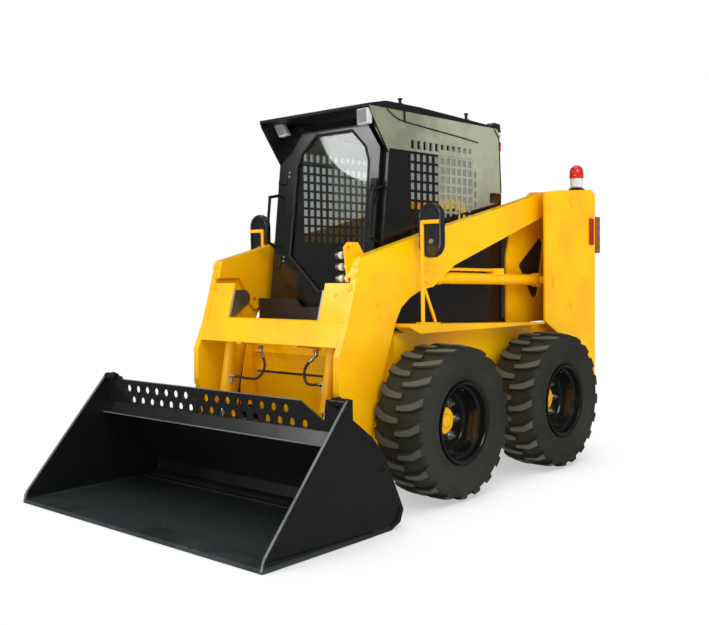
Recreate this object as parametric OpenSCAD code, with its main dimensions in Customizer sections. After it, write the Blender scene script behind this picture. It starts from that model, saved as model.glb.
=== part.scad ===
// Compact wheeled skid-steer loader with a bucket, a guarded cab and radial lift arms.
// +X is the machine's left, -Y its front, +Z up; millimetres.

/* [Wheels] */
// Distance between the front and rear axles
wheelbase = 1054; // [1040:2:1070]
// Radius of a tyre out to its lugs
tyre_r = 412; // [408:1:420]
// Width of a tyre
tyre_w = 320; // [300:2:330]
// Half the width over the tyres
track_half = 906; // [900:2:920]
// Lugs on each side of a tyre
lugs = 20; // [16:1:22]
// Depth of a lug
lug_depth = 28; // [22:1:34]
// Radius of the rim's outer flange
rim_r = 217; // [212:1:222]

/* [Frame] */
// Half the width of the lower frame
frame_half = 540; // [530:1:550]
// Height of the belly over the ground
belly_z = 200; // [180:5:220]
// Forward reach of the front panel from mid-wheelbase
frame_front = 800; // [790:2:805]
// Top of the decks over the wheels
deck_z = 935; // [930:1:940]
// Half the width over the rear towers
tower_half = 650; // [640:1:660]
// Rear face of the towers from mid-wheelbase
tower_rear = 1369; // [1360:1:1380]

/* [Cab] */
// Half the width of the cab
cab_half = 430; // [424:1:434]
// Front face of the cab at deck height from mid-wheelbase
cab_front = 694; // [690:1:698]
// Backward lean of the cab's front face in degrees
cab_lean = 7; // [6:0.5:8]
// Rear face of the cab from mid-wheelbase
cab_rear = 530; // [524:1:540]
// Top of the roof
roof_z = 2140; // [2120:2:2150]
// How far the visor reaches from mid-wheelbase
visor_reach = 740; // [730:1:750]
// Slot columns in a side grille
grille_cols = 11; // [8:1:11]
// Slot rows in a side grille
grille_rows = 9; // [6:1:9]

/* [Lift arms] */
// Outer face of a lift arm
arm_out = 570; // [568:1:572]
// Thickness of a lift arm
arm_t = 65; // [60:1:66]
// Radius of the pins in the linkage
pin_r = 25; // [20:1:26]

/* [Bucket] */
// Half the width of the bucket
bucket_half = 943; // [930:1:950]
// Forward reach of the cutting edge from mid-wheelbase
bucket_reach = 2030; // [2020:5:2040]
// Thickness of the bucket's plate
bucket_t = 12; // [8:1:14]
// Holes in the upper row of the spill guard
guard_holes = 17; // [12:1:17]

/* [Hidden] */

loader_yellow = "#fcc000";
gloss_black = "#1a1c1a";
rubber_black = "#2d2d28";
cab_grey = "#b9beab";
bright_steel = "#c8c8c8";
glass_tint = "#9fb4a8";

lamp_reach = 1450;                       // rear face of the tail lamps
y_mid = (lamp_reach - bucket_reach) / 2; // middle of the whole machine's length
axle_y = wheelbase / 2;
wheel_x = track_half - tyre_w / 2;
arm_in = arm_out - arm_t;
plate_t = 14;
sill_z = deck_z - 55;                    // what the cab stands on
well_front = -620;                       // front of the foot well under the deck
inner_t = 25;                            // thickness of an arm's inner plate
nose_half = 470;                         // half the width of the frame's nose

// Pivots of the linkage, each [y, z]
lift_pivot = [1040, 1655];
ram_base = [815, 1144];
ram_eye = [-430, 1178];
tilt_top = [-970, 1070];
tilt_eye = [-1110, 340];
bucket_pivot = [-1035, 215];
ram_x = 520;
tilt_x = 400;
hitch_y = 1427;                          // tow pin's hole in the rear hitch
hitch_r = 13;
eye_hole = [-1000, 1338];                // lifting hole in the coupler bracket

module place() translate([0, -y_mid, 0]) children();
module both() { children(); mirror([1, 0, 0]) children(); }

// Extrudes an outline drawn in [y, z] from x0 to x1
module slab_x(x0, x1) translate([x0, 0, 0]) rotate([90, 0, 90]) linear_extrude(x1 - x0) children();
// Extrudes an outline drawn in [x, z] from y0 to y1
module slab_y(y0, y1) translate([0, y1, 0]) rotate([90, 0, 0]) linear_extrude(y1 - y0) children();
// Round bar along X between x0 and x1 at the point p = [y, z]
module bar_x(x0, x1, p, r) translate([x0, p[0], p[1]]) rotate([0, 90, 0]) cylinder(h = x1 - x0, r = r, $fn = 48);
// Box from its low corner to its high corner
module box(lo, hi) translate(lo) cube(hi - lo);
// Disc of radius r in [y, z]
module disc(p, r) translate(p) circle(r = r, $fn = 48);
// Round bar between two points of [x, y, z]
module rod(a, b, r, fn = 24) {
    d = b - a;
    translate(a) rotate([0, acos(d[2] / norm(d)), atan2(d[1], d[0])]) cylinder(h = norm(d), r = r, $fn = fn);
}

// ---- Lower frame ----
module main_frame() color(loader_yellow) {
    top = deck_z - 69;
    both() slab_x(frame_half - plate_t, frame_half)
        polygon([[-660, belly_z], [-690, 230], [-690, top], [tower_rear - plate_t, top],
                 [tower_rear - plate_t, belly_z + 120], [1250, belly_z]]);
    // Narrower nose between the arms
    both() slab_x(nose_half - plate_t, nose_half)
        polygon([[-740, belly_z], [-frame_front, 660], [-frame_front, deck_z], [-676, deck_z], [-676, belly_z]]);
    both() box([nose_half - plate_t, -690, 230], [frame_half - plate_t, -690 + plate_t, top]);
    // Chain cases along both sides
    both() box([400, -690, belly_z + plate_t], [frame_half - plate_t, 860, 520]);
    slab_x(-nose_half, nose_half)
        polygon([[-740, belly_z], [-frame_front, 660], [-frame_front, deck_z], [well_front, deck_z],
                 [well_front, deck_z - plate_t], [-frame_front + plate_t, deck_z - plate_t],
                 [-frame_front + plate_t, 660], [-740 + plate_t, belly_z + plate_t],
                 [-600, belly_z + plate_t], [-600, belly_z]]);
    slab_x(-frame_half + plate_t, frame_half - plate_t)
        polygon([[-660, belly_z], [-660, belly_z + plate_t],
                 [1250, belly_z + plate_t], [tower_rear - 2 * plate_t, belly_z + 126],
                 [tower_rear - 2 * plate_t, 450], [tower_rear - plate_t, 450],
                 [tower_rear - plate_t, belly_z + 120], [1250, belly_z]]);
}

module side_decks() color(loader_yellow) both() {
    // Deck over the wheels with a turned-down outer lip
    difference() {
        slab_x(frame_half, tower_half)
            polygon([[-690, deck_z - 18], [-690, deck_z], [690, deck_z - 60], [690, 866], [560, 866], [-600, 878]]);
        slab_x(frame_half + 12, tower_half - 12)
            polygon([[-680, 860], [-680, deck_z - 12], [700, deck_z - 72], [700, 860]]);
    }
    // Sill between the frame and the cab
    box([404, -676, deck_z - 69], [frame_half, cab_rear, sill_z]);
}

// ---- Rear towers ----
function tower_top(y) = 1722 + (y - 860) * 30 / 460;

module tower_outline() difference() {
    polygon([[700, 880], [700, 1702], [860, 1722], [1320, 1752], [tower_rear, 1720], [tower_rear, 430],
             [980, 430], [980, 600], [860, 800]]);
    translate([axle_y, tyre_r]) circle(r = tyre_r + 40, $fn = 64);
}

module tower() {
    in_x = 436;
    difference() {
        slab_x(tower_half - plate_t, tower_half) tower_outline();
        bar_x(600, 700, lift_pivot, pin_r);
        bar_x(600, 700, ram_base, pin_r);
    }
    difference() {
        slab_x(in_x, in_x + plate_t)
            polygon([[560, 866], [560, 1300], [640, 1560], [860, 1722], [1320, 1752], [tower_rear - plate_t, 1720],
                     [tower_rear - plate_t, 866]]);
        // Teardrop window beside the lift cylinder
        slab_x(in_x - 5, in_x + 25) hull() {
            disc([975, 1380], 42);
            disc([900, 1080], 55);
            disc([720, 1240], 12);
        }
        bar_x(400, 500, lift_pivot, pin_r);
        bar_x(400, 500, ram_base, pin_r);
    }
    box([in_x, tower_rear - plate_t, 450], [tower_half - plate_t, tower_rear, 1718]);
    slab_x(in_x + plate_t, tower_half - plate_t)
        polygon([[1130, tower_top(1130) - plate_t], [1130, tower_top(1130)], [1320, 1752], [tower_rear, 1720],
                 [tower_rear, 1706], [1320, 1738]]);
}

module towers() color(loader_yellow) {
    both() tower_with_pins();
    // Fixed halves of the engine door's hinges
    for (z = rear_hinge_zs) {
        translate([rear_hinge[0], rear_hinge[1], z - 26]) cylinder(h = 25.5, r = 8, $fn = 32);
        box([-474, tower_rear, z - 26], [-445, rear_hinge[1] + 6, z - 0.5]);
        box([-445, rear_hinge[1] - 6, z - 26], [rear_hinge[0], rear_hinge[1] + 6, z - 0.5]);
    }
}

module tower_with_pins() {
    tower();
    bar_x(436, tower_half + 8, lift_pivot, pin_r - 0.05);
    bar_x(436, tower_half + 8, ram_base, pin_r - 0.05);
}

module rear_bumper() color(loader_yellow) difference() {
    union() {
        box([-600, tower_rear, 300], [600, tower_rear + 36, 428]);
        for (z = [325, 385]) box([-45, tower_rear + 36, z], [45, lamp_reach, z + 20]);
    }
    translate([0, hitch_y, 300]) cylinder(h = 130, r = hitch_r, $fn = 32);
}

module engine_block() color("#3a3c3c") box([-260, 560, 430], [260, 1160, 1080]);

module engine_hood() color(loader_yellow) difference() {
    slab_x(-434, 434) polygon([[560, 1250], [560, 1286], [1200, 1286], [1354, 1240], [1354, 1204], [1190, 1250]]);
    for (i = [0 : 9]) box([-330, 640 + 52 * i, 1200], [330, 664 + 52 * i, 1300]);
}

// The engine door's hinge, [x, y], and the low ends of its barrels
rear_hinge = [-434, 1418];
rear_hinge_zs = [560, 1060];

module rear_door() color(loader_yellow) {
    rear_leaf();
    for (z = rear_hinge_zs) {
        translate([rear_hinge[0], rear_hinge[1], z]) cylinder(h = 50, r = 8, $fn = 32);
        box([rear_hinge[0], tower_rear + 40, z], [-390, tower_rear + 52, z + 50]);
    }
}

module rear_leaf() difference() {
    slab_y(tower_rear + 2, tower_rear + 40) polygon([[-424, 470], [424, 470], [424, 1150], [380, 1230],
                                                     [-380, 1230], [-424, 1150]]);
    box([-400, tower_rear, 490], [400, tower_rear + 22, 1150]);
    for (i = [0 : 9]) box([-300, tower_rear, 640 + 44 * i], [300, tower_rear + 60, 662 + 44 * i]);
}

module axle_tubes() color(gloss_black) for (s = [-1, 1]) both() {
    bar_x(frame_half, 690, [s * axle_y, tyre_r], 70);
    bar_x(690, 719, [s * axle_y, tyre_r], 120);
}

// ---- Cab ----
// Depth of the leaning front face at the height z
function front_y(z) = -cab_front + (z - deck_z) * tan(cab_lean);
// Frame on the front face: y out of it, z up along it from the deck
module on_front() translate([0, -cab_front, deck_z]) rotate([-cab_lean, 0, 0]) children();

post_in = cab_half - 62;
post_out = cab_half - 12;
door_x = 30;                                // the door's middle
rail_r = 9;

module cab_frame() color(gloss_black) {
    both() {
        on_front() box([post_in, 0, 12], [post_out, 50, 1160]);
        box([post_in, cab_rear - 70, sill_z], [post_out, cab_rear - 20, 2030]);
        box([post_in + 3, -548, 2060], [post_out - 1, 450, 2095]);
        box([post_in + 3, well_front + 2, sill_z], [post_out - 1, cab_rear - 70, deck_z + 12]);
        box([post_in + 3, 10 - cab_front, deck_z], [post_out - 1, well_front + 2, deck_z + 12]);
    }
    // Front panel with the doorway, its header and the rear header
    on_front() difference() {
        slab_y(0, 14) polygon([[-post_in - 5, 20], [post_in + 5, 20], [post_in + 5, 1155], [-post_in - 5, 1155]]);
        translate([door_x, 0, 0]) slab_y(-5, 20) polygon(whole(way_half));
    }
    on_front() box([-post_in - 5, 5, 1112], [post_in + 5, 40, 1150]);
    box([-post_in, cab_rear - 70, 2000], [post_in, cab_rear - 20, 2040]);
    on_front() {
        for (z = hinge_zs) {
            translate([hinge_x, hinge_y, z - 26]) cylinder(h = 25.5, r = 11, $fn = 32);
            box([-post_out + 5, hinge_y, z - 26], [hinge_x, 0, z - 0.5]);
        }
        // Grab rails on the front posts
        both() rod([post_out - 10, -85, 458], [post_out - 10, -85, 724], rail_r);
        both() for (e = [[430, 458], [752, 724]]) {
            rod([post_out - 10, 8, e[0]], [post_out - 10, -85, e[1]], rail_r);
            translate([post_out - 10, -85, e[1]]) sphere(r = rail_r + 1, $fn = 32);
        }
    }
}

// Height of the roof's rear slope at the depth y
function roof_top(y) = roof_z - (y + 300) * 28 / 770;

module cab_roof() color(gloss_black) {
    slab_x(-cab_half, cab_half) polygon([[-visor_reach, 2095], [-visor_reach, 2112], [-600, roof_z], [-300, roof_z],
        [470, roof_top(470)], [cab_rear, 2060], [cab_rear - 12, 2045], [455, 2095]]);
    both() slab_x(cab_half - 12, cab_half)
        polygon([[-visor_reach, 2095], [-visor_reach + 10, 2070], [front_y(1862), 1862], [front_y(2095), 2095]]);
}

module side_outline() polygon([[well_front, sill_z], [well_front, deck_z], [front_y(deck_z), deck_z],
                               [front_y(2095), 2095], [450, 2095], [cab_rear - 20, 2040],
                               [cab_rear, 1627], [cab_rear, sill_z]]);

// Middle of slot column i along the cab's side
function slot_y(i) = -369 + 55.8 * i;
slot_w = 38;

module cab_side_panels() color(cab_grey) both() difference() {
    slab_x(cab_half - 12, cab_half) side_outline();
    box([cab_half - 20, slot_y(0) - 29, 1392], [cab_half + 10, slot_y(grille_cols - 1) + 29, 1886]);
    // A row of slots over the grille, the first five taller, and a column behind it
    for (i = [0 : grille_cols - 1])
        box([cab_half - 20, slot_y(i) - 16, i < 5 ? 1902 : 1918], [cab_half + 10, slot_y(i) + 16, 1950]);
    for (j = [0 : 3]) box([cab_half - 20, 232, 1595 + 61 * j], [cab_half + 10, 256, 1630 + 61 * j]);
}

module cab_side_grilles() color(gloss_black) both() difference() {
    box([cab_half - 10, slot_y(0) - 29, 1392], [cab_half - 2, slot_y(grille_cols - 1) + 29, 1886]);
    for (i = [0 : grille_cols - 1], j = [0 : grille_rows - 1])
        box([cab_half - 20, slot_y(i) - slot_w / 2, 1402 + 54 * j],
            [cab_half + 10, slot_y(i) + slot_w / 2, 1442 + 54 * j]);
}

module rear_window() color(glass_tint)
    box([-354, cab_rear - 48, 1290], [354, cab_rear - 40, 2000]);

module cab_floor() color(gloss_black) {
    // Foot well, seat box and the wall behind the seat
    box([-404, well_front, 700], [404, 140, 720]);
    box([-354, 120, 720], [354, 140, 1080]);
    both() box([350, 120, deck_z + 12], [post_out, 140, 1080]);
    box([-post_out, 140, 1060], [post_out, 440, 1080]);
    box([-post_out, 440, 1060], [post_out, cab_rear - 70, 1300]);
    both() box([390, well_front, 700], [404, cab_rear - 70, sill_z]);
    box([-404, well_front, 700], [404, well_front + 18, sill_z]);
    box([-post_in, well_front, sill_z - 5], [post_in, well_front + 18, 930]);
    // Guard across the deck in front of the cab's foot
    slab_y(-714, -702) polygon([[-495, deck_z], [495, deck_z], [495, 1060], [240, 1060], [190, 1012],
                                [-130, 1012], [-180, 1060], [-495, 1060]]);
}

module seat() color("#6b4a32") {
    difference() {
        box([-230, -60, 1080], [230, 400, 1180]);
        box([-200, -200, 1176], [200, 290, 1200]);
    }
    slab_x(-220, 220) polygon([[300, 1170], [400, 1170], [435, 1640], [390, 1660], [340, 1640]]);
}

module controls() color(gloss_black) both() {
    rod([290, -150, 1080], [290, -190, 1330], 14);
    translate([290, -192, 1345]) sphere(r = 26, $fn = 32);
    box([250, -180, 720], [330, 110, 1080]);
}

// Front lamps under the visor, each [low x, high x]
front_lamps = [[-417, -364], [325, 416]];

module work_lights() color(bright_steel) {
    edge_z = 2060 + 10 * (roof_top(470) - 2060) / (cab_rear - 470);
    for (l = front_lamps) slab_x(l[0], l[1])
        polygon([[-visor_reach - 24, 2012], [-visor_reach - 28, 2078], [-visor_reach, 2095],
                 [-716, 2095], [-716, 2020]]);
    // Rear lamps on the roof's edge and the markers under them
    both() slab_x(350, 410) polygon([[436, roof_top(436)], [470, roof_top(470)], [cab_rear - 10, edge_z],
                                     [cab_rear + 6, 2082], [524, 2134], [460, 2138]]);
    both() box([375, cab_rear - 20, 1970], [415, cab_rear + 25, 2025]);
}

module beacon() color("#d02018") {
    slab_x(560, 630) polygon([[1160, tower_top(1160)], [1240, tower_top(1240)], [1240, 1756], [1160, 1756]]);
    translate([595, 1200, 1750]) {
        cylinder(h = 50, r = 33, $fn = 48);
        translate([0, 0, 50]) cylinder(h = 60, r = 38, $fn = 48);
        translate([0, 0, 110]) sphere(r = 38, $fn = 48);
    }
}

module tail_lamps() color("#a02010") both()
    box([560, tower_rear, 1320], [tower_half, lamp_reach, 1570]);

module mirrors() color(gloss_black) both() translate([676, -540, 1430]) {
    slab_y(0, 28) square([154, 140], center = true);
    for (z = [-70, 70]) slab_y(0, 28) translate([0, z]) circle(r = 77, $fn = 48);
}

function deck_top(y) = deck_z - (y + 690) * 60 / 1380;

module mirror_stands() color(loader_yellow) both() {
    slab_x(605, tower_half) polygon([[-580, deck_top(-580)], [-420, deck_top(-420)], [-420, deck_top(-420) + 8],
                                     [-580, deck_top(-580) + 8]]);
    rod([630, -551, deck_z], [630, -551, 1480], 11);
    rod([626, -551, 1475], [740, -551, 1475], 11);
    rod([630, -551, 1150], [630, -440, deck_z], 9);
}

// ---- Door, drawn on the cab's front face ----
// Right halves of the door, its glass and the doorway from the door's middle, each [x, z]
door_half = [[95, 96], [359, 282], [359, 959], [250, 1108]];
glass_half = [[38, 168], [110, 230], [290, 373], [283, 892], [250, 977], [140, 1078]];
way_half = [[80, 120], [322, 300], [322, 945], [235, 1080]];
function whole(half) = concat(half, [for (i = [len(half) - 1 : -1 : 0]) [-half[i][0], half[i][1]]]);
hinge_x = door_x - 378;
hinge_y = -18;
hinge_zs = [333, 838];

module door_frame() color(gloss_black) on_front() {
    translate([door_x, 0, 0]) difference() {
        slab_y(-28, -6) polygon(whole(door_half));
        slab_y(-50, 10) polygon(whole(glass_half));
    }
    // Hinge leaves and barrels on the machine's right
    for (z = hinge_zs) {
        translate([hinge_x, hinge_y, z]) cylinder(h = 50, r = 11, $fn = 32);
        box([hinge_x, -24, z], [door_x - 330, -12, z + 50]);
    }
}

module door_glass() color(glass_tint, 0.4) on_front() translate([door_x, 0, 0])
    slab_y(-20, -14) polygon(whole(glass_half));

// ---- Lift arms ----
module arm_outline() {
    polygon([[1040, 1730], [836, 1714], [302, 1589], [-310, 1452], [-912, 1303], [-985, 1284], [-1086, 949],
             [-1156, 789], [-1160, 610], [-1112, 450], [-1106, 215], [-965, 215], [-905, 373], [-815, 682],
             [-725, 900], [-700, 960], [-660, 1020], [-586, 1070], [-480, 1112], [-375, 1125], [-300, 1170],
             [-170, 1245], [784, 1545], [1040, 1580]]);
    disc(lift_pivot, 75);
    disc(bucket_pivot, 71);
}

module arm() {
    difference() {
        slab_x(arm_in, arm_out) arm_outline();
        bar_x(arm_in - 9, arm_out + 9, lift_pivot, pin_r);
        bar_x(arm_in - 9, arm_out + 9, bucket_pivot, pin_r);
        // Room for the lift cylinder behind the outer plate
        slab_x(arm_in - 5, arm_out - 10)
            polygon([[-520, 1040], [-520, 1220], [-480, 1258], [-110, 1275], [-110, 1040]]);
        // The inner plate ends in a rounded lug above the leg
        slab_x(arm_in - 5, arm_in + inner_t)
            polygon([[-1200, 1184], [-854, 1184], [-831, 1148], [-809, 1076], [-778, 1033], [-734, 993], [-682, 1018],
                     [-648, 1047], [-600, 1040], [-640, 850], [-780, 480], [-1200, 480]]);
        bar_x(arm_in - 5, arm_in + inner_t, [-738, 1052], 14);
    }
    // Inner lug that carries the lift cylinder's pin, and the pin's ends
    slab_x(arm_in - 36, arm_in - 25) {
        disc(ram_eye, 55);
        polygon([[-485, 1178], [-500, 1330], [-360, 1330], [-375, 1178]]);
    }
    slab_x(arm_in - 25, arm_in) polygon([[-496, 1270], [-500, 1330], [-360, 1330], [-364, 1270]]);
    bar_x(arm_in - 44, arm_in - 36, ram_eye, pin_r + 8);
    bar_x(arm_out, arm_out + 5, ram_eye, pin_r + 8);
}

module arm_left() color(loader_yellow) arm();
module arm_right() color(loader_yellow) mirror([1, 0, 0]) arm();

module cross_member() color(loader_yellow) {
    slab_x(-arm_in - inner_t, arm_in + inner_t)
        polygon([[-1137, 835], [-1082, 958], [-1074, 965], [-1045, 965], [-1080, 835]]);
    // Front flanges that stand on the member beside the arms
    both() slab_x(356, arm_in + inner_t) polygon([[-1079, 960], [-1023, 1157], [-1010, 1153], [-1064, 960]]);
    // Tabs under the member for the front hoses' elbows
    both() slab_x(200, 242) polygon([[-1120, 835], [-1081, 835], [-946, 810], [-944, 798], [-1082, 823], [-1120, 823]]);
    // Bracket for the couplers, with a lifting eye
    difference() {
        slab_x(arm_in - 14, arm_in) polygon([[-1005, 1160], [-1030, 1340], [-1000, 1366], [-930, 1366],
                                             [-880, 1300], [-900, 1160]]);
        bar_x(arm_in - 20, arm_in + 5, eye_hole, 10);
    }
}

module arm_pins() color(bright_steel) both() {
    bar_x(342, arm_in + inner_t, tilt_top, pin_r - 0.05);
    slab_x(342, 356) {
        disc(tilt_top, 50);
        polygon([[-1074, 965], [-1045, 965], [-935, 1034], [-985, 1118], [-1030, 1118]]);
    }
}

module couplers() color(bright_steel) {
    for (z = [1180, 1240, 1300]) rod([arm_in - 14, -985, z], [arm_in - 95, -985, z], 17);
    // Elbows that the front hoses leave from
    elbow = hose_route[0] - 30 * along(hose_route, 0);
    both() {
        rod([elbow[0], elbow[1], 798], elbow, 13);
        translate(elbow) sphere(r = 13.5, $fn = 32);
        rod(elbow, hose_route[0], 10);
    }
}

// Route of a hose from its elbow under the cross member to the tilt cylinder's port, each [x, y, z]
hose_route = [[199, -965, 749], [178, -974, 727], [168, -979, 714], [161, -983, 699], [159, -988, 682], [161, -993, 665],
              [168, -998, 650], [178, -1003, 637], [191, -1008, 627], [206, -1013, 620], [223, -1018, 618],
              [250, -1026, 619], [275, -1034, 621], [300, -1043, 625], [320, -1050, 628], [336, -1054, 629],
              [351.7, -1054.6, 629]];
hose_r = 7.5;

// Direction of the route p at its point i, and the ring of n points around it
function along(p, i) = let (d = p[min(i + 1, len(p) - 1)] - p[max(i - 1, 0)]) d / norm(d);
function ring(p, i, r, n) =
    let (t = along(p, i), side = cross([0, 1, 0], t), u = side / norm(side), v = cross(t, u))
    [for (k = [0 : n - 1]) p[i] + r * (cos(360 * k / n) * u + sin(360 * k / n) * v)];

// Tube of radius r with n sides swept along the route p
module tube(p, r, n = 10) {
    last = len(p) - 1;
    polyhedron(
        points = [for (i = [0 : last]) each ring(p, i, r, n)],
        faces = concat([[for (k = [0 : n - 1]) k]], [[for (k = [n - 1 : -1 : 0]) last * n + k]],
            [for (i = [0 : last - 1], k = [0 : n - 1])
                [i * n + k, (i + 1) * n + k, (i + 1) * n + (k + 1) % n, i * n + (k + 1) % n]]));
}

module front_hoses() color(rubber_black) both() tube(hose_route, hose_r);

// ---- Bucket ----
// Outer side outline of the bucket, each [y, z]
side_pts = [[-bucket_reach, 0], [-1215, 0], [-1150, 26], [-1122, 90], [-1253, 364], [-1343, 462], [-1470, 556],
            [-1470, 648], [-1500, 648], [-2012, 57]];
module bucket_shell() color(gloss_black) {
    slab_x(-bucket_half + 2, bucket_half - 2)
        polygon([[-bucket_reach + 120, 0], [-1215, 0], [-1150, 26], [-1122, 90], [-1253, 364], [-1335, 446],
                     [-1400, 480], [-1500, 494], [-1532, 432], [-1520, 430], [-1492, 481], [-1404, 468],
                     [-1343, 437], [-1264, 357], [-1136, 90], [-1158, 36], [-1217, bucket_t],
                     [-bucket_reach + 120, bucket_t]]);
    both() slab_x(bucket_half - bucket_t, bucket_half) polygon(side_pts);
}

module spill_guard() color(gloss_black) difference() {
    slab_y(-1500, -1490) polygon([[-930.8, 494], [-930.8, 640], [-800, 640], [-780, 622], [640, 622], [790, 540],
                                  [806, 640], [930.8, 640], [930.8, 494]]);
    for (i = [0 : guard_holes - 1], j = [0, 1]) if (j == 1 || i < guard_holes - 1)
        translate([-720 + 84 * i + 42 * j, -1480, 578 - 62 * j]) rotate([90, 0, 0])
            cylinder(h = 40, r = 20, $fn = 24);
}

module cutting_edge() color(gloss_black)
    box([-bucket_half + bucket_t, -bucket_reach, 0], [bucket_half - bucket_t, -bucket_reach + 120, 20]);

// Depth of the bucket's back at the height z
function back_y(z) = -1122 - (z - 90) * 131 / 274;

module quick_attach() color(gloss_black) {
    // Plate on the bucket's back
    slab_x(-600, 600) polygon([[back_y(104), 104], [back_y(362), 362], [-1224, 380], [-1098, 118]]);
    both() {
        for (x = [[470, 500], [576, 600]]) slab_x(x[0], x[1]) {
            disc(bucket_pivot, 66);
            polygon([[-1035, 281], [-1200, 330], [-1110, 140], [-1035, 149]]);
        }
        bar_x(470, 600, bucket_pivot, pin_r - 0.05);
        for (x = [[355, 369], [431, 445]]) slab_x(x[0], x[1]) {
            disc(tilt_eye, 38);
            polygon([[-1110, 378], [-1224, 378], [-1162, 250], [-1110, 302]]);
        }
        bar_x(347, 355, tilt_eye, pin_r);
        bar_x(445, 453, tilt_eye, pin_r);
    }
}

// ---- Cylinders ----
// Barrel from the point p towards q, both [y, z], with an eye at p and a bored mouth
module barrel(x, p, q, len, r, bore, eye_w, eye_r, pin) {
    d = q - p;
    translate([x, p[0], p[1]]) rotate([atan2(d[1], d[0]), 0, 0]) difference() {
        union() {
            rotate([-90, 0, 0]) translate([0, 0, eye_r - 4]) cylinder(h = len - eye_r + 4, r = r, $fn = 48);
            translate([-eye_w / 2, 0, 0]) rotate([0, 90, 0]) cylinder(h = eye_w, r = eye_r, $fn = 48);
        }
        rotate([-90, 0, 0]) translate([0, 0, eye_r + 20]) cylinder(h = len, r = bore, $fn = 48);
        translate([-eye_w, 0, 0]) rotate([0, 90, 0]) cylinder(h = 2 * eye_w, r = pin, $fn = 48);
    }
}

// Rod that ends in an eye at q and reaches back towards p
module ram_rod(x, p, q, len, r, eye_w, eye_r) {
    d = p - q;
    translate([x, q[0], q[1]]) rotate([atan2(d[1], d[0]), 0, 0]) {
        rotate([-90, 0, 0]) translate([0, 0, eye_r - 6]) cylinder(h = len - eye_r + 6, r = r, $fn = 48);
        translate([-eye_w / 2, 0, 0]) rotate([0, 90, 0]) cylinder(h = eye_w, r = eye_r, $fn = 48);
    }
}

module lift_barrels() color(loader_yellow) both()
    barrel(ram_x, ram_base, ram_eye, 1120, 35, 27, 56, 45, pin_r + 0.02);
module lift_rods() color(bright_steel) both()
    ram_rod(ram_x, ram_base, ram_eye, 1150, 22, 60, 42);
module tilt_barrels() color(loader_yellow) both() {
    barrel(tilt_x, tilt_top, tilt_eye, 590, 32, 24, 60, 42, pin_r + 0.02);
    // Port for the front hose
    bar_x(352, tilt_x - 26, [-1054.6, 629], 11);
}
module tilt_rods() color(bright_steel) both()
    ram_rod(tilt_x, tilt_top, tilt_eye, 610, 18, 50, 30);

// ---- Wheels ----
// Footprint of one lug from the shoulder to past the middle, each [across, around]
lug_pts = [[158, -34], [158, 20], [90, 26], [40, 6], [-14, 0], [-14, -30], [46, -26], [92, -8]];

module tyre() color(rubber_black) {
    crown = tyre_r - lug_depth;
    h = tyre_w / 2;
    rotate([0, 90, 0]) rotate_extrude($fn = 60)
        polygon([[rim_r - 8, -h + 40], [rim_r + 20, -h + 14], [crown - 90, -h], [crown - 30, -h + 8], [crown, -h + 30],
                 [crown, h - 30], [crown - 30, h - 8], [crown - 90, h], [rim_r + 20, h - 14], [rim_r - 8, h - 40]]);
    for (i = [0 : lugs - 1], s = [0, 1])
        rotate([360 / lugs * (i + s / 2), 0, 0]) mirror([s, 0, 0]) translate([0, 0, crown - 40])
            linear_extrude(lug_depth + 40) polygon(lug_pts);
}

module rim() color(gloss_black) {
    h = tyre_w / 2;
    w = h - 14;
    rotate([0, 90, 0]) rotate_extrude($fn = 60)
        polygon([[60, -26], [110, -26], [110, -10], [rim_r - 32, -10], [rim_r - 32, -w], [rim_r, -w], [rim_r, -w + 12],
                 [rim_r - 9.5, -h + 41], [rim_r - 9.5, h - 41], [rim_r, w - 12], [rim_r, w], [rim_r - 20, w],
                 [rim_r - 20, 4], [60, 4]]);
    rotate([0, 90, 0]) translate([0, 0, -20]) cylinder(h = 34, r = 73, $fn = 48);
}

module wheel_at(sx, sy) translate([sx * wheel_x, sy * axle_y, tyre_r])
    mirror([sx < 0 ? 1 : 0, 0, 0]) children();

place() main_frame();
place() side_decks();
place() towers();
place() rear_bumper();
place() engine_block();
place() engine_hood();
place() axle_tubes();
place() cab_frame();
place() cab_roof();
place() cab_side_panels();
place() cab_side_grilles();
place() rear_window();
place() cab_floor();
place() seat();
place() controls();
place() work_lights();
place() beacon();
place() tail_lamps();
place() mirrors();
place() mirror_stands();
place() door_frame();
place() door_glass();
place() rear_door();
place() arm_left();
place() arm_right();
place() cross_member();
place() arm_pins();
place() couplers();
place() front_hoses();
place() bucket_shell();
place() spill_guard();
place() cutting_edge();
place() quick_attach();
place() lift_barrels();
place() lift_rods();
place() tilt_barrels();
place() tilt_rods();
place() wheel_at(1, -1) tyre();  // tyre_fl
place() wheel_at(-1, -1) tyre();  // tyre_fr
place() wheel_at(1, 1) tyre();  // tyre_rl
place() wheel_at(-1, 1) tyre();  // tyre_rr
place() wheel_at(1, -1) rim();  // rim_fl
place() wheel_at(-1, -1) rim();  // rim_fr
place() wheel_at(1, 1) rim();  // rim_rl
place() wheel_at(-1, 1) rim();  // rim_rr
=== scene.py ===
"""Compact skid-steer loader: finishes, tyres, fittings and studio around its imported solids."""

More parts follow.
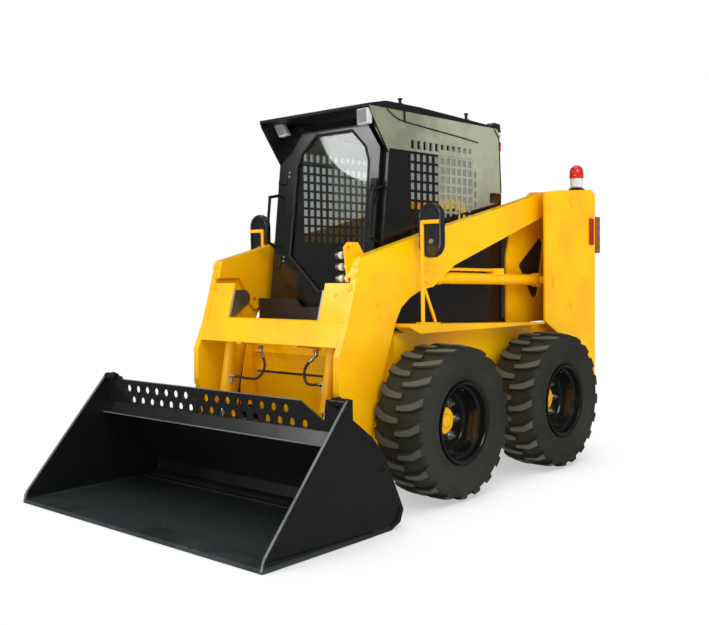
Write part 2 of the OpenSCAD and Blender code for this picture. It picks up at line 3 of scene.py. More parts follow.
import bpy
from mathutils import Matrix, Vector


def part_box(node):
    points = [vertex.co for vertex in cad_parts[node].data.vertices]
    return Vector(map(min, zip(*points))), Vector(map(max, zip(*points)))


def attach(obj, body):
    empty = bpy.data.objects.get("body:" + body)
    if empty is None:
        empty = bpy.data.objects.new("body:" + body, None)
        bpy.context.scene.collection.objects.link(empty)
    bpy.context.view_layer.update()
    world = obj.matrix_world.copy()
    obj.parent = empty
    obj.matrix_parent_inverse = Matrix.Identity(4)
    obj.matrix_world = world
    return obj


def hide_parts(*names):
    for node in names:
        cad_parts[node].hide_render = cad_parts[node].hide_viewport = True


bl_info = {
    "name": "Compact loader dressing",
    "version": (1, 0, 0),
    "blender": (4, 5, 0),
    "location": "View3D > Sidebar > Loader",
    "description": "Builds the finish, tyres, lamps, hoses and fittings of a compact wheeled loader",
    "category": "Object",
}

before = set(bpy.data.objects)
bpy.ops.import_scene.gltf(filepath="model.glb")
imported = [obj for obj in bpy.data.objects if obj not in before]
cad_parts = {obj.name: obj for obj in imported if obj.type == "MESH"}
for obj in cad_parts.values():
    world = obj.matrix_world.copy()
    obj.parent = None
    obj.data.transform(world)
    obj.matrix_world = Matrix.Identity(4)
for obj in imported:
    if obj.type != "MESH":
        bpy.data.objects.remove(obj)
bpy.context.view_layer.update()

from math import cos, pi, radians, sin

import bmesh
import bpy
from mathutils import Matrix, Vector


def middle(node):
    """Middle of a solid's box."""
    low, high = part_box(node)
    return (Vector(low) + Vector(high)) / 2


# How far the middle of the wheelbase lies behind the frame's origin
MID_Y = (middle("tyre_fl").y + middle("tyre_rl").y) / 2


def at(x, y, z):
    """A place given in millimetres from the middle of the wheelbase, as a point of the frame."""
    return Vector((x / 1000, y / 1000 + MID_Y, z / 1000))


# Foot and lean of the cab's front face
FRONT_Y, DECK_Z, LEAN = -694, 935, radians(7)


def on_front(x, out, up):
    """A place on the cab's leaning front face: millimetres out of it, and up along it from the deck."""
    return at(x, FRONT_Y - out * cos(LEAN) + up * sin(LEAN), DECK_Z + out * sin(LEAN) + up * cos(LEAN))


# One millimetre out of that face
OUTWARD = on_front(0, 1, 0) - on_front(0, 0, 0)


# ---- sizes and colours
def colour(name, text, default):
    return bpy.props.FloatVectorProperty(name=name, description=text, default=default, size=3,
                                         subtype="COLOR", min=0, max=1)


def length(name, text, default):
    return bpy.props.FloatProperty(name=name, description=text, default=default, unit="LENGTH",
                                   subtype="DISTANCE", min=0)


class LoaderColours(bpy.types.PropertyGroup):
    """Colours of the finishes."""

    yellow: colour("Yellow", "Enamel on the frame, towers and arms", (0.93, 0.50, 0.0))
    # Painted shade: a shaded copy of the yellow, which the enamel mixes in at random over the panels.
    amber: colour("Yellow in the hollows", "Where the enamel lies thicker", (0.90, 0.42, 0.0))
    black: colour("Black", "Enamel on the cab and the bucket", (0.005, 0.006, 0.005))
    grey: colour("Cab grey", "Rear of the cab's sides", (0.33, 0.35, 0.25))
    # Painted shade: the visor's shade on the front of the cab's sides, fading out to the rear.
    visor_shade: colour("Cab drab", "Front of the cab's sides, in the visor's shade", (0.17, 0.18, 0.12))
    tyre: colour("Tyre", "Tyre rubber", (0.022, 0.023, 0.017))
    # Partly painted light: the lugs' paler tops stand for scuffs and dust, and for the light that falls on them.
    lug: colour("Lug", "Scuffed tops of the lugs", (0.100, 0.106, 0.084))
    dust: colour("Dust", "Dry soil that settles low down", (0.30, 0.26, 0.19))
    floor: colour("Floor", "Studio floor", (0.90, 0.90, 0.90))


class LoaderSizes(bpy.types.PropertyGroup):
    """Sizes of the fittings."""

    edge: length("Edge", "Radius on the edges of the plates", 0.004)
    nut: length("Wheel nut", "Half the width of a wheel nut over its corners", 0.017)
    bolt: length("Bolt", "Half the width of a bolt's head over its corners", 0.013)
    hose: length("Hose", "Outer diameter of a hydraulic hose", 0.015)
    lug_inset: length("Lug taper", "How much narrower a lug is at its top", 0.006)


# ---- shader nodes
def put(tree, kind, sockets=None, **props):
    """Adds a shader node, sets its properties, and links or sets its inputs."""
    made = tree.nodes.new("ShaderNode" + kind)
    for key, value in props.items():
        setattr(made, key, value)
    for key, value in (sockets or {}).items():
        if isinstance(value, bpy.types.NodeSocket):
            tree.links.new(value, made.inputs[key])
        else:
            made.inputs[key].default_value = value
    return made


def calc(tree, operation, a, b=0.0, c=0.0, clamp=False):
    return put(tree, "Math", {0: a, 1: b, 2: c}, operation=operation, use_clamp=clamp).outputs[0]


def blend_colour(tree, factor, a, b):
    a, b = (each if isinstance(each, bpy.types.NodeSocket) else (*each[:3], 1) for each in (a, b))
    return put(tree, "Mix", {0: factor, 6: a, 7: b}, data_type="RGBA").outputs[2]


def ramp(tree, value, low, high, out_low=0.0, out_high=1.0):
    return put(tree, "MapRange", {"Value": value, "From Min": low, "From Max": high, "To Min": out_low,
                                  "To Max": out_high}, interpolation_type="SMOOTHSTEP").outputs[0]


def noise(tree, place, scale, detail, rough=0.5):
    return put(tree, "TexNoise", {"Vector": place, "Scale": scale, "Detail": detail, "Roughness": rough}).outputs[0]


def step_at(tree, value, edge, soft=0.0015):
    """Rises from 0 to 1 over a narrow band about an edge."""
    return ramp(tree, value, edge - soft, edge + soft)


def spots(tree):
    """Object coordinates, which every pattern lies on."""
    return put(tree, "TexCoord").outputs["Object"]


def parts(tree, vector):
    """X, Y and Z of a vector."""
    return put(tree, "SeparateXYZ", {0: vector}).outputs


def group(name, inputs, outputs):
    """Starts a node group with named sockets and returns it with its ends."""
    tree = bpy.data.node_groups.new(name, "ShaderNodeTree")
    for label, default in inputs.items():
        made = tree.interface.new_socket(name=label, in_out="INPUT", socket_type="NodeSocketFloat")
        made.default_value = default
    for label, kind in outputs.items():
        tree.interface.new_socket(name=label, in_out="OUTPUT", socket_type="NodeSocket" + kind)
    return tree, tree.nodes.new("NodeGroupInput").outputs, tree.nodes.new("NodeGroupOutput").inputs


def edge_group():
    """Rounded edges, and a mask of where their paint has rubbed thin."""
    tree, source, result = group("Rounded edges", {"Radius": 0.004, "Wear": 0.3},
                                 {"Normal": "Vector", "Edge": "Float"})
    rounded = put(tree, "Bevel", {"Radius": source["Radius"]}, samples=6).outputs[0]
    plain = put(tree, "NewGeometry").outputs["Normal"]
    along = put(tree, "VectorMath", {0: rounded, 1: plain}, operation="DOT_PRODUCT").outputs["Value"]
    chips = noise(tree, spots(tree), 55.0, 5.0)
    mask = calc(tree, "MULTIPLY", ramp(tree, along, 0.985, 0.80), ramp(tree, chips, 0.50, 0.66))
    tree.links.new(rounded, result["Normal"])
    tree.links.new(calc(tree, "MULTIPLY", mask, source["Wear"], clamp=True), result["Edge"])
    return tree


def grain_group():
    """Fine height of a sprayed or moulded skin, and slow change over a panel."""
    tree, source, result = group("Skin grain", {"Scale": 400.0, "Panel": 3.0}, {"Height": "Float", "Slow": "Float"})
    place = spots(tree)
    tree.links.new(noise(tree, place, source["Scale"], 2.0), result["Height"])
    tree.links.new(ramp(tree, noise(tree, place, source["Panel"], 4.0, 0.6), 0.35, 0.65), result["Slow"])
    return tree


def dust_group():
    """Dust that lies on upward faces and low down on the machine."""
    tree, source, result = group("Settled dust", {"Amount": 0.3, "Reach": 0.7}, {"Mask": "Float"})
    place = spots(tree)
    height = parts(tree, place)["Z"]
    facing = parts(tree, put(tree, "NewGeometry").outputs["Normal"])["Z"]
    low = put(tree, "MapRange", {"Value": height, "From Min": source["Reach"], "From Max": 0.0}).outputs[0]
    cloud = noise(tree, place, 9.0, 8.0, 0.7)
    lying = calc(tree, "ADD", calc(tree, "MULTIPLY", low, 0.7), ramp(tree, facing, 0.5, 1.0, 0.0, 0.35))
    mask = calc(tree, "MULTIPLY", lying, ramp(tree, cloud, 0.38, 0.68))
    tree.links.new(calc(tree, "MULTIPLY", mask, source["Amount"], clamp=True), result["Mask"])
    return tree


GROUPS = {}
MATERIALS = {}
WHITE = (1, 1, 1)


def use(tree, name, **sockets):
    return put(tree, "Group", {k.title(): v for k, v in sockets.items()}, node_tree=GROUPS[name]).outputs


def new_material(name):
    made = bpy.data.materials.new(name)
    made.use_nodes = True
    tree = made.node_tree
    MATERIALS[name] = made
    return tree, tree.nodes["Principled BSDF"].inputs


def enamel(name, base, second, rough, coat=0.0, wear=0.0, under=(0.10, 0.09, 0.08), dust=0.05,
           reach=0.8, bump=0.04, edge=0.004, specular=0.5, scale=420.0):
    """Sprayed or moulded finish with grain, rubbed edges and dust."""
    tree, skin = new_material(name)
    colours = bpy.context.scene.loader_colours
    edges = use(tree, "edges", radius=edge, wear=wear)
    grain = use(tree, "grain", scale=scale)
    dusty = use(tree, "dust", amount=dust, reach=reach)["Mask"]
    body = blend_colour(tree, grain["Slow"], base, second)
    body = blend_colour(tree, edges["Edge"], body, under)
    tree.links.new(blend_colour(tree, dusty, body, colours.dust), skin["Base Color"])
    gloss = calc(tree, "MULTIPLY_ADD", grain["Slow"], 0.08, rough)
    tree.links.new(calc(tree, "MULTIPLY_ADD", dusty, 0.6, gloss, clamp=True), skin["Roughness"])
    lump = put(tree, "Bump", {"Height": grain["Height"], "Strength": bump, "Distance": 0.002,
                              "Normal": edges["Normal"]})
    tree.links.new(lump.outputs[0], skin["Normal"])
    skin["Coat Weight"].default_value = coat
    skin["Coat Roughness"].default_value = 0.06
    skin["Specular IOR Level"].default_value = specular
    return tree


def metal(name, base, rough, wear=0.0):
    """Bare or plated metal with fine brushing."""
    tree, skin = new_material(name)
    stretched = put(tree, "Mapping", {"Vector": spots(tree), "Scale": (120.0, 6.0, 6.0)}).outputs[0]
    lines = noise(tree, stretched, 3.0, 3.0)
    edges = use(tree, "edges", radius=0.0015, wear=wear)
    shade = blend_colour(tree, lines, base, [c * 0.75 for c in base])
    tree.links.new(shade, skin["Base Color"])
    tree.links.new(ramp(tree, lines, 0.2, 0.8, rough, rough + 0.12), skin["Roughness"])
    lump = put(tree, "Bump", {"Height": lines, "Strength": 0.05, "Distance": 0.0005, "Normal": edges["Normal"]})
    tree.links.new(lump.outputs[0], skin["Normal"])
    skin["Metallic"].default_value = 1.0


def glass(name, tint, rough=0.0, film=0.08):
    """Clear glass with a thin film of dust in its roughness."""
    tree, skin = new_material(name)
    cloud = use(tree, "grain", scale=60.0, panel=5.0)["Slow"]
    tree.links.new(blend_colour(tree, cloud, tint, [c * 0.97 for c in tint]), skin["Base Color"])
    tree.links.new(ramp(tree, cloud, 0.3, 1.0, rough, rough + film), skin["Roughness"])
    skin["Transmission Weight"].default_value = 1.0
    skin["IOR"].default_value = 1.45


def repaint(tree, shade):
    """Gives a finish's two tones one shade worked out over the surface."""
    tones = next(n for n in tree.nodes if n.type == "MIX")
    for key in (6, 7):
        tree.links.new(shade, tones.inputs[key])


def side_grey(tree, place):
    """Grey of the cab's sides, darkened at the front by painted shade of the visor and paler to the rear, with soft
    stains.
    """
    colours = bpy.context.scene.loader_colours
    stain = ramp(tree, noise(tree, place, 6.0, 5.0, 0.65), 0.35, 0.65, -0.22, 0.22)
    # Painted shade: the visor's shade lies on the front of the sides and of the roof's cheeks and fades out to the
    # rear.
    rearward = ramp(tree, parts(tree, place)["Y"], MID_Y - 0.60, MID_Y + 0.25)
    return blend_colour(tree, calc(tree, "ADD", rearward, stain, clamp=True), colours.visor_shade, colours.grey)


# Where the black of a cab side ends: behind this place, over this height, and over a line by the arm,
# given by its height at the frame's middle and its slope
BLACK_Y, BLACK_Z = -0.130, 1.8865
ARM_LINE_Z, ARM_LINE_SLOPE = 1.5365, 0.2


def cab_side():
    """Cab side: black low down and at the front, grey over that and behind."""
    tree = enamel("Cab side", WHITE, WHITE, rough=0.24, coat=0.2, wear=0.1, dust=0.02, edge=0.003)
    place = spots(tree)
    split = parts(tree, place)
    behind = step_at(tree, split["Y"], MID_Y + BLACK_Y, 0.002)
    above = step_at(tree, split["Z"], BLACK_Z)
    # The grey ends on a line that rises to the rear just over the lift arm
    rise = calc(tree, "MULTIPLY_ADD", split["Y"], -ARM_LINE_SLOPE, split["Z"])
    over_arm = step_at(tree, rise, ARM_LINE_Z - ARM_LINE_SLOPE * MID_Y)
    grey = calc(tree, "MINIMUM", calc(tree, "MAXIMUM", behind, above), over_arm)
    black = tuple(bpy.context.scene.loader_colours.black)
    repaint(tree, blend_colour(tree, grey, black, side_grey(tree, place)))


def roof_enamel():
    """Roof: dark on top and in front, with a painted bluish sheen on its upward faces, and grey on the cheeks that
    close the visor's ends.
    """
    tree = enamel("Roof enamel", WHITE, WHITE, rough=0.3, wear=0.1, dust=0.02, specular=0.3)
    place = spots(tree)
    split = parts(tree, place)
    turned = parts(tree, put(tree, "NewGeometry").outputs["Normal"])
    sideways = ramp(tree, calc(tree, "ABSOLUTE", turned["X"]), 0.7, 0.8)
    outside = step_at(tree, calc(tree, "ABSOLUTE", split["X"]), 0.428, 0.001)
    below = step_at(tree, split["Z"], 2.1, -0.002)
    cheek = calc(tree, "MULTIPLY", calc(tree, "MULTIPLY", sideways, outside), below)
    # Painted reflection: upward faces are paler and bluish, as if they mirrored the sky.
    upward = ramp(tree, turned["Z"], 0.5, 0.9)
    dark = blend_colour(tree, upward, (0.008, 0.010, 0.010), (0.016, 0.022, 0.024))
    repaint(tree, blend_colour(tree, cheek, dark, side_grey(tree, place)))


def bucket_enamel():
    """Bucket black, paler and bluish on the floor, most near its cutting edge: painted sheen together with rubbed
    paint.
    """
    tree = enamel("Bucket black", WHITE, WHITE, rough=0.26, coat=0.1, wear=0.5, dust=0.015,
                  under=(0.14, 0.15, 0.15), bump=0.06, specular=0.38, scale=260.0)
    split = parts(tree, spots(tree))
    # Painted reflection with wear: the floor turns bluish grey toward the cutting edge, where it mirrors the room
    # and its paint is rubbed.
    forward = ramp(tree, split["Y"], MID_Y - 1.30, MID_Y - 1.88)
    rubbed = blend_colour(tree, forward, (0.014, 0.018, 0.016), (0.026, 0.037, 0.036))
    floor = ramp(tree, split["Z"], 0.030, 0.016)
    repaint(tree, blend_colour(tree, floor, tuple(bpy.context.scene.loader_colours.black), rubbed))


def make_materials():
    """Builds each group once and each finish from them."""
    GROUPS.update(edges=edge_group(), grain=grain_group(), dust=dust_group())
    tone = bpy.context.scene.loader_colours
    black = tuple(tone.black)
    enamel("Loader yellow", tone.yellow, tone.amber, rough=0.24, coat=0.12, wear=0.25, dust=0.06,
           specular=0.3, edge=bpy.context.scene.loader_sizes.edge)
    enamel("Gloss black", black, [c * 1.4 for c in black], rough=0.14, coat=0.25, wear=0.15, dust=0.02,
           under=(0.06, 0.06, 0.06), bump=0.006, edge=0.003)
    bucket_enamel()
    # Painted highlight with wear: pale strips along the bucket's edges, where the edges catch the light and the
    # paint is rubbed.
    enamel("Bright edge", (0.10, 0.11, 0.11), (0.16, 0.17, 0.17), rough=0.35, wear=0.4)
    enamel("Worn edge", (0.020, 0.026, 0.028), (0.034, 0.042, 0.045), rough=0.28, coat=0.1, wear=0.8, dust=0.02,
           under=(0.22, 0.23, 0.23), bump=0.08, scale=200.0)
    enamel("Cab inside", (0.015, 0.015, 0.015), (0.022, 0.022, 0.022), rough=0.5, dust=0.3, reach=1.2)
    enamel("Black plastic", (0.012, 0.012, 0.013), (0.018, 0.018, 0.019), rough=0.38,
           dust=0.15, bump=0.25, scale=900.0, edge=0.002)
    enamel("Tyre rubber", tone.tyre, [c * 1.3 for c in tone.tyre], rough=0.6,
           dust=0.03, reach=0.5, bump=0.25, specular=0.25, scale=520.0, edge=0.003)
    enamel("Tyre lug", tone.lug, [c * 0.75 for c in tone.lug], rough=0.66,
           dust=0.05, reach=0.5, bump=0.35, specular=0.25, scale=420.0, edge=0.003)
    enamel("Hose rubber", (0.014, 0.014, 0.014), (0.02, 0.02, 0.02), rough=0.5,
           dust=0.3, reach=1.4, bump=0.3, scale=700.0, edge=0.0005)
    enamel("Seat vinyl", (0.10, 0.045, 0.022), (0.13, 0.06, 0.03), rough=0.42, coat=0.1,
           dust=0.1, reach=0.1, bump=0.35, scale=650.0)
    enamel("Engine iron", (0.05, 0.055, 0.055), (0.075, 0.08, 0.08), rough=0.6, wear=0.2, dust=0.4,
           reach=1.3, bump=0.5, scale=180.0)
    enamel("Red plastic", (0.55, 0.012, 0.008), (0.62, 0.02, 0.012), rough=0.18, coat=0.6)
    enamel("Lamp body", (0.50, 0.51, 0.50), (0.62, 0.63, 0.61), rough=0.25, coat=0.4, wear=0.1, edge=0.003)
    enamel("Mirror shell", (0.008, 0.008, 0.009), (0.012, 0.012, 0.014), rough=0.22, coat=0.4, bump=0.1)
    enamel("Tail red", (0.30, 0.008, 0.006), (0.38, 0.012, 0.008), rough=0.2, coat=0.5)
    enamel("Tail amber", (0.62, 0.20, 0.01), (0.70, 0.25, 0.015), rough=0.2, coat=0.5)
    enamel("Milky plastic", (0.62, 0.62, 0.60), (0.70, 0.70, 0.68), rough=0.3, coat=0.3)
    enamel("Zinc", (0.78, 0.73, 0.55), (0.86, 0.82, 0.64), rough=0.3, coat=0.2, wear=0.2, dust=0.1, edge=0.001)
    enamel("Tail brown", (0.20, 0.07, 0.012), (0.28, 0.11, 0.02), rough=0.35, coat=0.1, wear=0.3, dust=0.1)
    roof_enamel()
    cab_side()
    metal("Plated steel", (0.62, 0.61, 0.58), 0.30, wear=0.2)
    metal("Chrome", (0.80, 0.80, 0.80), 0.08)
    glass("Clear glass", (0.86, 0.93, 0.90), film=0.04)
    glass("Lamp glass", (0.95, 0.96, 0.95), rough=0.12)
    metal("Mirror glass", (0.9, 0.9, 0.9), 0.02)


# ---- mesh tools
def turn_to(direction):
    """Turn that takes +Z to a direction."""
    return Vector((0, 0, 1)).rotation_difference(Vector(direction)).to_matrix().to_4x4()


def bar(bm, a, b, r, n=20, end=None):
    """Round or tapered bar between two points."""
    a, b = Vector(a), Vector(b)
    place = Matrix.Translation((a + b) / 2) @ turn_to(b - a)
    bmesh.ops.create_cone(bm, cap_ends=True, segments=n, radius1=r, radius2=r if end is None else end,
                          depth=(b - a).length, matrix=place)


def block(bm, low, high):
    """Box between two corners."""
    low, high = Vector(low), Vector(high)
    size = Matrix.Diagonal((*(high - low), 1))
    bmesh.ops.create_cube(bm, size=1, matrix=Matrix.Translation((low + high) / 2) @ size)


def ball(bm, centre, r, n):
    """Sphere about a centre."""
    bmesh.ops.create_uvsphere(bm, u_segments=n, v_segments=n // 2, radius=r, matrix=Matrix.Translation(centre))


def plate(bm, points, step):
    """Prism from a flat outline and a step across it; returns its two flat faces."""
    foot = bm.faces.new([bm.verts.new(p) for p in points])
    made = bmesh.ops.extrude_face_region(bm, geom=[foot])["geom"]
    cap = next(f for f in made if isinstance(f, bmesh.types.BMFace))
    bmesh.ops.translate(bm, verts=list(cap.verts), vec=Vector(step))
    return foot, cap


def bead(bm, points, r, n):
    """Round bead along points, with balls at its joints."""
    for a, b in zip(points, points[1:]):
        bar(bm, a, b, r, n)
        ball(bm, b, r, n)


def lathe(bm, profile, centre, axis, steps=48):
    """Turned shape from (along, radius) pairs, in millimetres, about an axis through a centre."""
    centre = Vector(centre)
    turn = turn_to(axis)
    verts = [bm.verts.new(centre + turn @ Vector((r / 1000, 0, a / 1000))) for a, r in profile]
    edges = [bm.edges.new(pair) for pair in zip(verts, verts[1:])]
    bmesh.ops.spin(bm, geom=verts + edges, cent=centre, axis=Vector(axis), angle=2 * pi, steps=steps,
                   use_merge=True, use_duplicate=False)


def bolt(bm, place, axis, r, tall=None):
    """Hexagon head on a round washer."""
    axis = Vector(axis).normalized()
    bar(bm, place - axis * 0.001, place + axis * r * 0.18, r * 1.5, 16)
    bar(bm, place, place + axis * (tall or r * 0.75), r, 6, r * 0.9)


def side_view(x, pairs):
    """Outline across the machine's side at x, from (y, z) pairs."""
    return [at(x, y, z) for y, z in pairs]


def mirror_x(bm):
    """Adds the mirror image across the machine's middle."""
    made = bmesh.ops.duplicate(bm, geom=list(bm.verts) + list(bm.edges) + list(bm.faces))["geom"]
    verts = [v for v in made if isinstance(v, bmesh.types.BMVert)]
    faces = [f for f in made if isinstance(f, bmesh.types.BMFace)]
    bmesh.ops.scale(bm, vec=(-1, 1, 1), verts=verts)
    bmesh.ops.reverse_faces(bm, faces=faces)


# Finishes that stand for each material slot of the record; the slot's solids take the first
SLOTS = {
    "yellow_paint": "Loader yellow", "black_paint": "Gloss black, Bucket black, Bright edge, Cab inside",
    "cab_grey": "Cab side", "black_plastic": "Black plastic, Mirror shell", "steel": "Plated steel, Zinc",
    "chrome_rod": "Chrome", "engine_iron": "Engine iron", "hose_rubber": "Hose rubber",
    "beacon_red": "Red plastic", "tail_red": "Tail brown, Tail red, Tail amber",
    "lamp_lens": "Lamp body, Lamp glass, Milky plastic", "clear_glass": "Clear glass, Mirror glass",
    "seat_vinyl": "Seat vinyl", "tyre_rubber": "Tyre rubber",
}
SLOT_OF = {finish: slot for slot, finishes in SLOTS.items() for finish in finishes.split(", ")}


def piece(name, bm, finishes, body="chassis", slot=None, bevel=0.0, segments=2, hard=35.0, stands_for=(),
          both=False):
    """Closes the mesh, shades it, makes the object and rides it on a body; both adds its mirror image first."""
    if both:
        mirror_x(bm)
    finishes = [finishes] if isinstance(finishes, str) else finishes
    slot = slot or SLOT_OF[finishes[0]]
    bmesh.ops.remove_doubles(bm, verts=bm.verts, dist=1e-5)
    bmesh.ops.recalc_face_normals(bm, faces=bm.faces)
    for face in bm.faces:
        face.smooth = True
    for edge in bm.edges:
        edge.smooth = len(edge.link_faces) == 2 and edge.calc_face_angle(0) < radians(hard)
    mesh = bpy.data.meshes.new(name)
    bm.to_mesh(mesh)
    bm.free()
    made = bpy.data.objects.new(name, mesh)
    bpy.context.scene.collection.objects.link(made)
    for each in finishes:
        mesh.materials.append(MATERIALS[each])
    if bevel:
        modifier = made.modifiers.new("Edges", "BEVEL")
        modifier.width = bevel
        modifier.segments = segments
        modifier.limit_method = "ANGLE"
        modifier.angle_limit = radians(hard)
        modifier.harden_normals = True
    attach(made, body)
    if stands_for:
        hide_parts(*stands_for)
    return made


WHEELS = {"fl": 1, "fr": -1, "rl": 1, "rr": -1}
TYRE_R = middle("tyre_fl").z


class Piece:
    """What each piece's operator shares."""

    bl_options = {"REGISTER", "UNDO"}

    def execute(self, context):
        self.build(context.scene.loader_sizes)
        return {"FINISHED"}


class LOADER_OT_finishes(Piece, bpy.types.Operator):
    """Makes the materials and puts them on the solids"""

    bl_idname = "loader.finishes"
    bl_label = "Finishes"

    # Solids whose finish isn't the first of their slot
    OTHERS = {"Bucket black": "bucket_shell spill_guard quick_attach", "Worn edge": "cutting_edge",
              "Roof enamel": "cab_roof", "Cab side": "cab_side_grilles", "Cab inside": "cab_floor",
              "Mirror shell": "mirrors"}

    def build(self, sizes):
        make_materials()
        others = {node: finish for finish, nodes in self.OTHERS.items() for node in nodes.split()}
        for node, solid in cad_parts.items():
            for holder in solid.material_slots:
                holder.material = MATERIALS[others.get(node) or SLOTS[holder.material.name].split(", ")[0]]


class LOADER_OT_tyres(Piece, bpy.types.Operator):
    """Lugged tyres with stepped shoulders and a rim guard"""

    bl_idname = "loader.tyres"
    bl_label = "Tyres"

    LUGS = 20
    # Radius that a lug grows from, and the one its footprint is measured round
    LUG_ROOT, LUG_PITCH = 0.338, 0.40
    # How its shoulder falls away: from this far across, over this width, by this much
    SHOULDER, RUN, FALL = 0.09, 0.064, 0.013
    # Half of the section from the bead to the crown: (out from the middle, radius), in millimetres
    SECTION = [(112, 206), (124, 214), (138, 228), (147, 240), (150, 250), (153.5, 254), (153.5, 262),
               (150.5, 266), (155, 285), (158, 300), (159.5, 316), (158, 322), (157.5, 345), (155, 362),
               (150, 377), (141, 387), (126, 391), (60, 395), (0, 396)]
    # Footprint of a lug: (across, around), in millimetres
    LUG = [(154, 4), (154, 66), (90, 24), (40, 10), (-14, 4), (-14, -32), (40, -32), (90, -26)]

    def lug(self, bm, inset, angle, side):
        """One tapered lug, bent round the tyre, its lower end sunk in the carcass."""
        tall = (0, 0, TYRE_R - self.LUG_ROOT)
        foot, cap = plate(bm, [(x / 1000, y / 1000, self.LUG_ROOT) for x, y in self.LUG], tall)
        slim = bmesh.ops.inset_region(bm, faces=[cap], thickness=inset, use_even_offset=True)["faces"]
        edge = {v for f in slim for v in f.verts} - set(cap.verts)
        bmesh.ops.translate(bm, verts=list(edge), vec=(0, 0, -inset))
        # The lug's top takes the paler lug finish: scuffs and dust, and partly painted light on the tops.
        cap.material_index = 1
        for v in {*foot.verts, *cap.verts, *edge}:
            across, around, r = v.co
            if r > self.LUG_ROOT + 0.01:
                r -= self.FALL * max(0.0, (abs(across) - self.SHOULDER) / self.RUN) ** 2
            turn = angle + around / self.LUG_PITCH
            v.co = Vector((across * side, r * sin(turn), r * cos(turn)))
        bmesh.ops.delete(bm, geom=[foot], context="FACES_ONLY")

    def build(self, sizes):
        for key, side in WHEELS.items():
            bm = bmesh.new()
            half = self.SECTION
            section = half + [(-a, r) for a, r in reversed(half[:-1])]
            lathe(bm, section + section[:1], (0, 0, 0), (1, 0, 0), 96)
            bmesh.ops.remove_doubles(bm, verts=bm.verts, dist=1e-5)
            for i in range(self.LUGS):
                for s in (0, 1):
                    self.lug(bm, sizes.lug_inset, 2 * pi / self.LUGS * (i + s / 2), (1, -1)[s])
            if side < 0:
                bmesh.ops.scale(bm, vec=(-1, 1, 1), verts=bm.verts)
            bmesh.ops.translate(bm, verts=bm.verts, vec=middle("tyre_" + key))
            piece("tyre_tread_" + key, bm, ["Tyre rubber", "Tyre lug"], "wheel_" + key, bevel=0.002, segments=1,
                  stands_for=["tyre_" + key])


class LOADER_OT_rims(Piece, bpy.types.Operator):
    """Dished rims, yellow hubs, plated nuts and valves"""

    bl_idname = "loader.rims"
    bl_label = "Rims"

    # Turned sections of the rim and hub: (out from the middle, radius), in millimetres
    SECTION = [(4, 66), (4, 150), (10, 166), (26, 177), (60, 181), (96, 183), (104, 193), (120, 197), (136, 200),
               (143, 206), (146, 212), (144, 218), (138, 219), (132, 214), (118, 207.5), (-118, 207.5),
               (-134, 217), (-146, 217), (-144, 205), (-120, 197), (-20, 178), (-10, 160), (-10, 66), (4, 66)]
    HUB = [(-20, 0), (-20, 72), (8, 72), (13, 67), (15, 40), (22, 36), (25, 28), (25, 0)]
    NUTS, NUT_CIRCLE, NUT_TALL = 6, 0.101, 0.018
    STUD_TALL, STUD_R = 0.030, 0.008
    # How far a valve stands from the axle, its turn about it, and how far out its foot and tip lie
    VALVE_R, VALVE_TURN, VALVE_ENDS = 0.187, radians(70), (0.050, 0.085)

    def build(self, sizes):
        for key, side in WHEELS.items():
            centre, body = middle("rim_" + key), "wheel_" + key
            axis = Vector((side, 0, 0))
            bm = bmesh.new()
            lathe(bm, self.SECTION, centre, axis, 96)
            piece("rim_dish_" + key, bm, "Gloss black", body, hard=28, stands_for=["rim_" + key])
            bm = bmesh.new()
            lathe(bm, self.HUB, centre, axis, 48)
            piece("hub_cap_" + key, bm, "Loader yellow", body, hard=40)
            bm = bmesh.new()
            for i in range(self.NUTS):
                spoke = Matrix.Rotation(2 * pi * i / self.NUTS, 3, "X") @ Vector((0, self.NUT_CIRCLE, 0))
                foot = centre + spoke + axis * 0.004
                bolt(bm, foot, axis, sizes.nut, self.NUT_TALL)
                bar(bm, foot, foot + axis * self.STUD_TALL, self.STUD_R, 12)
            valve = Matrix.Rotation(self.VALVE_TURN, 3, "X") @ Vector((0, self.VALVE_R, 0))
            low, high = self.VALVE_ENDS
            bar(bm, centre + valve + axis * low, centre + valve * 0.93 + axis * high, 0.005, 10)
            piece("wheel_nuts_" + key, bm, "Plated steel", body, bevel=0.0012)


def smooth_path(points, steps=6):
    """Points of a smooth curve through a few given ones."""
    ends = [points[0] * 2 - points[1], *points, points[-1] * 2 - points[-2]]
    made = []
    for a, b, c, d in zip(ends, ends[1:], ends[2:], ends[3:]):
        for i in range(steps):
            t = i / steps
            made.append(0.5 * (2 * b + (c - a) * t + (2 * a - 5 * b + 4 * c - d) * t * t
                               + (3 * b - a - 3 * c + d) * t ** 3))
    return made + [points[-1]]


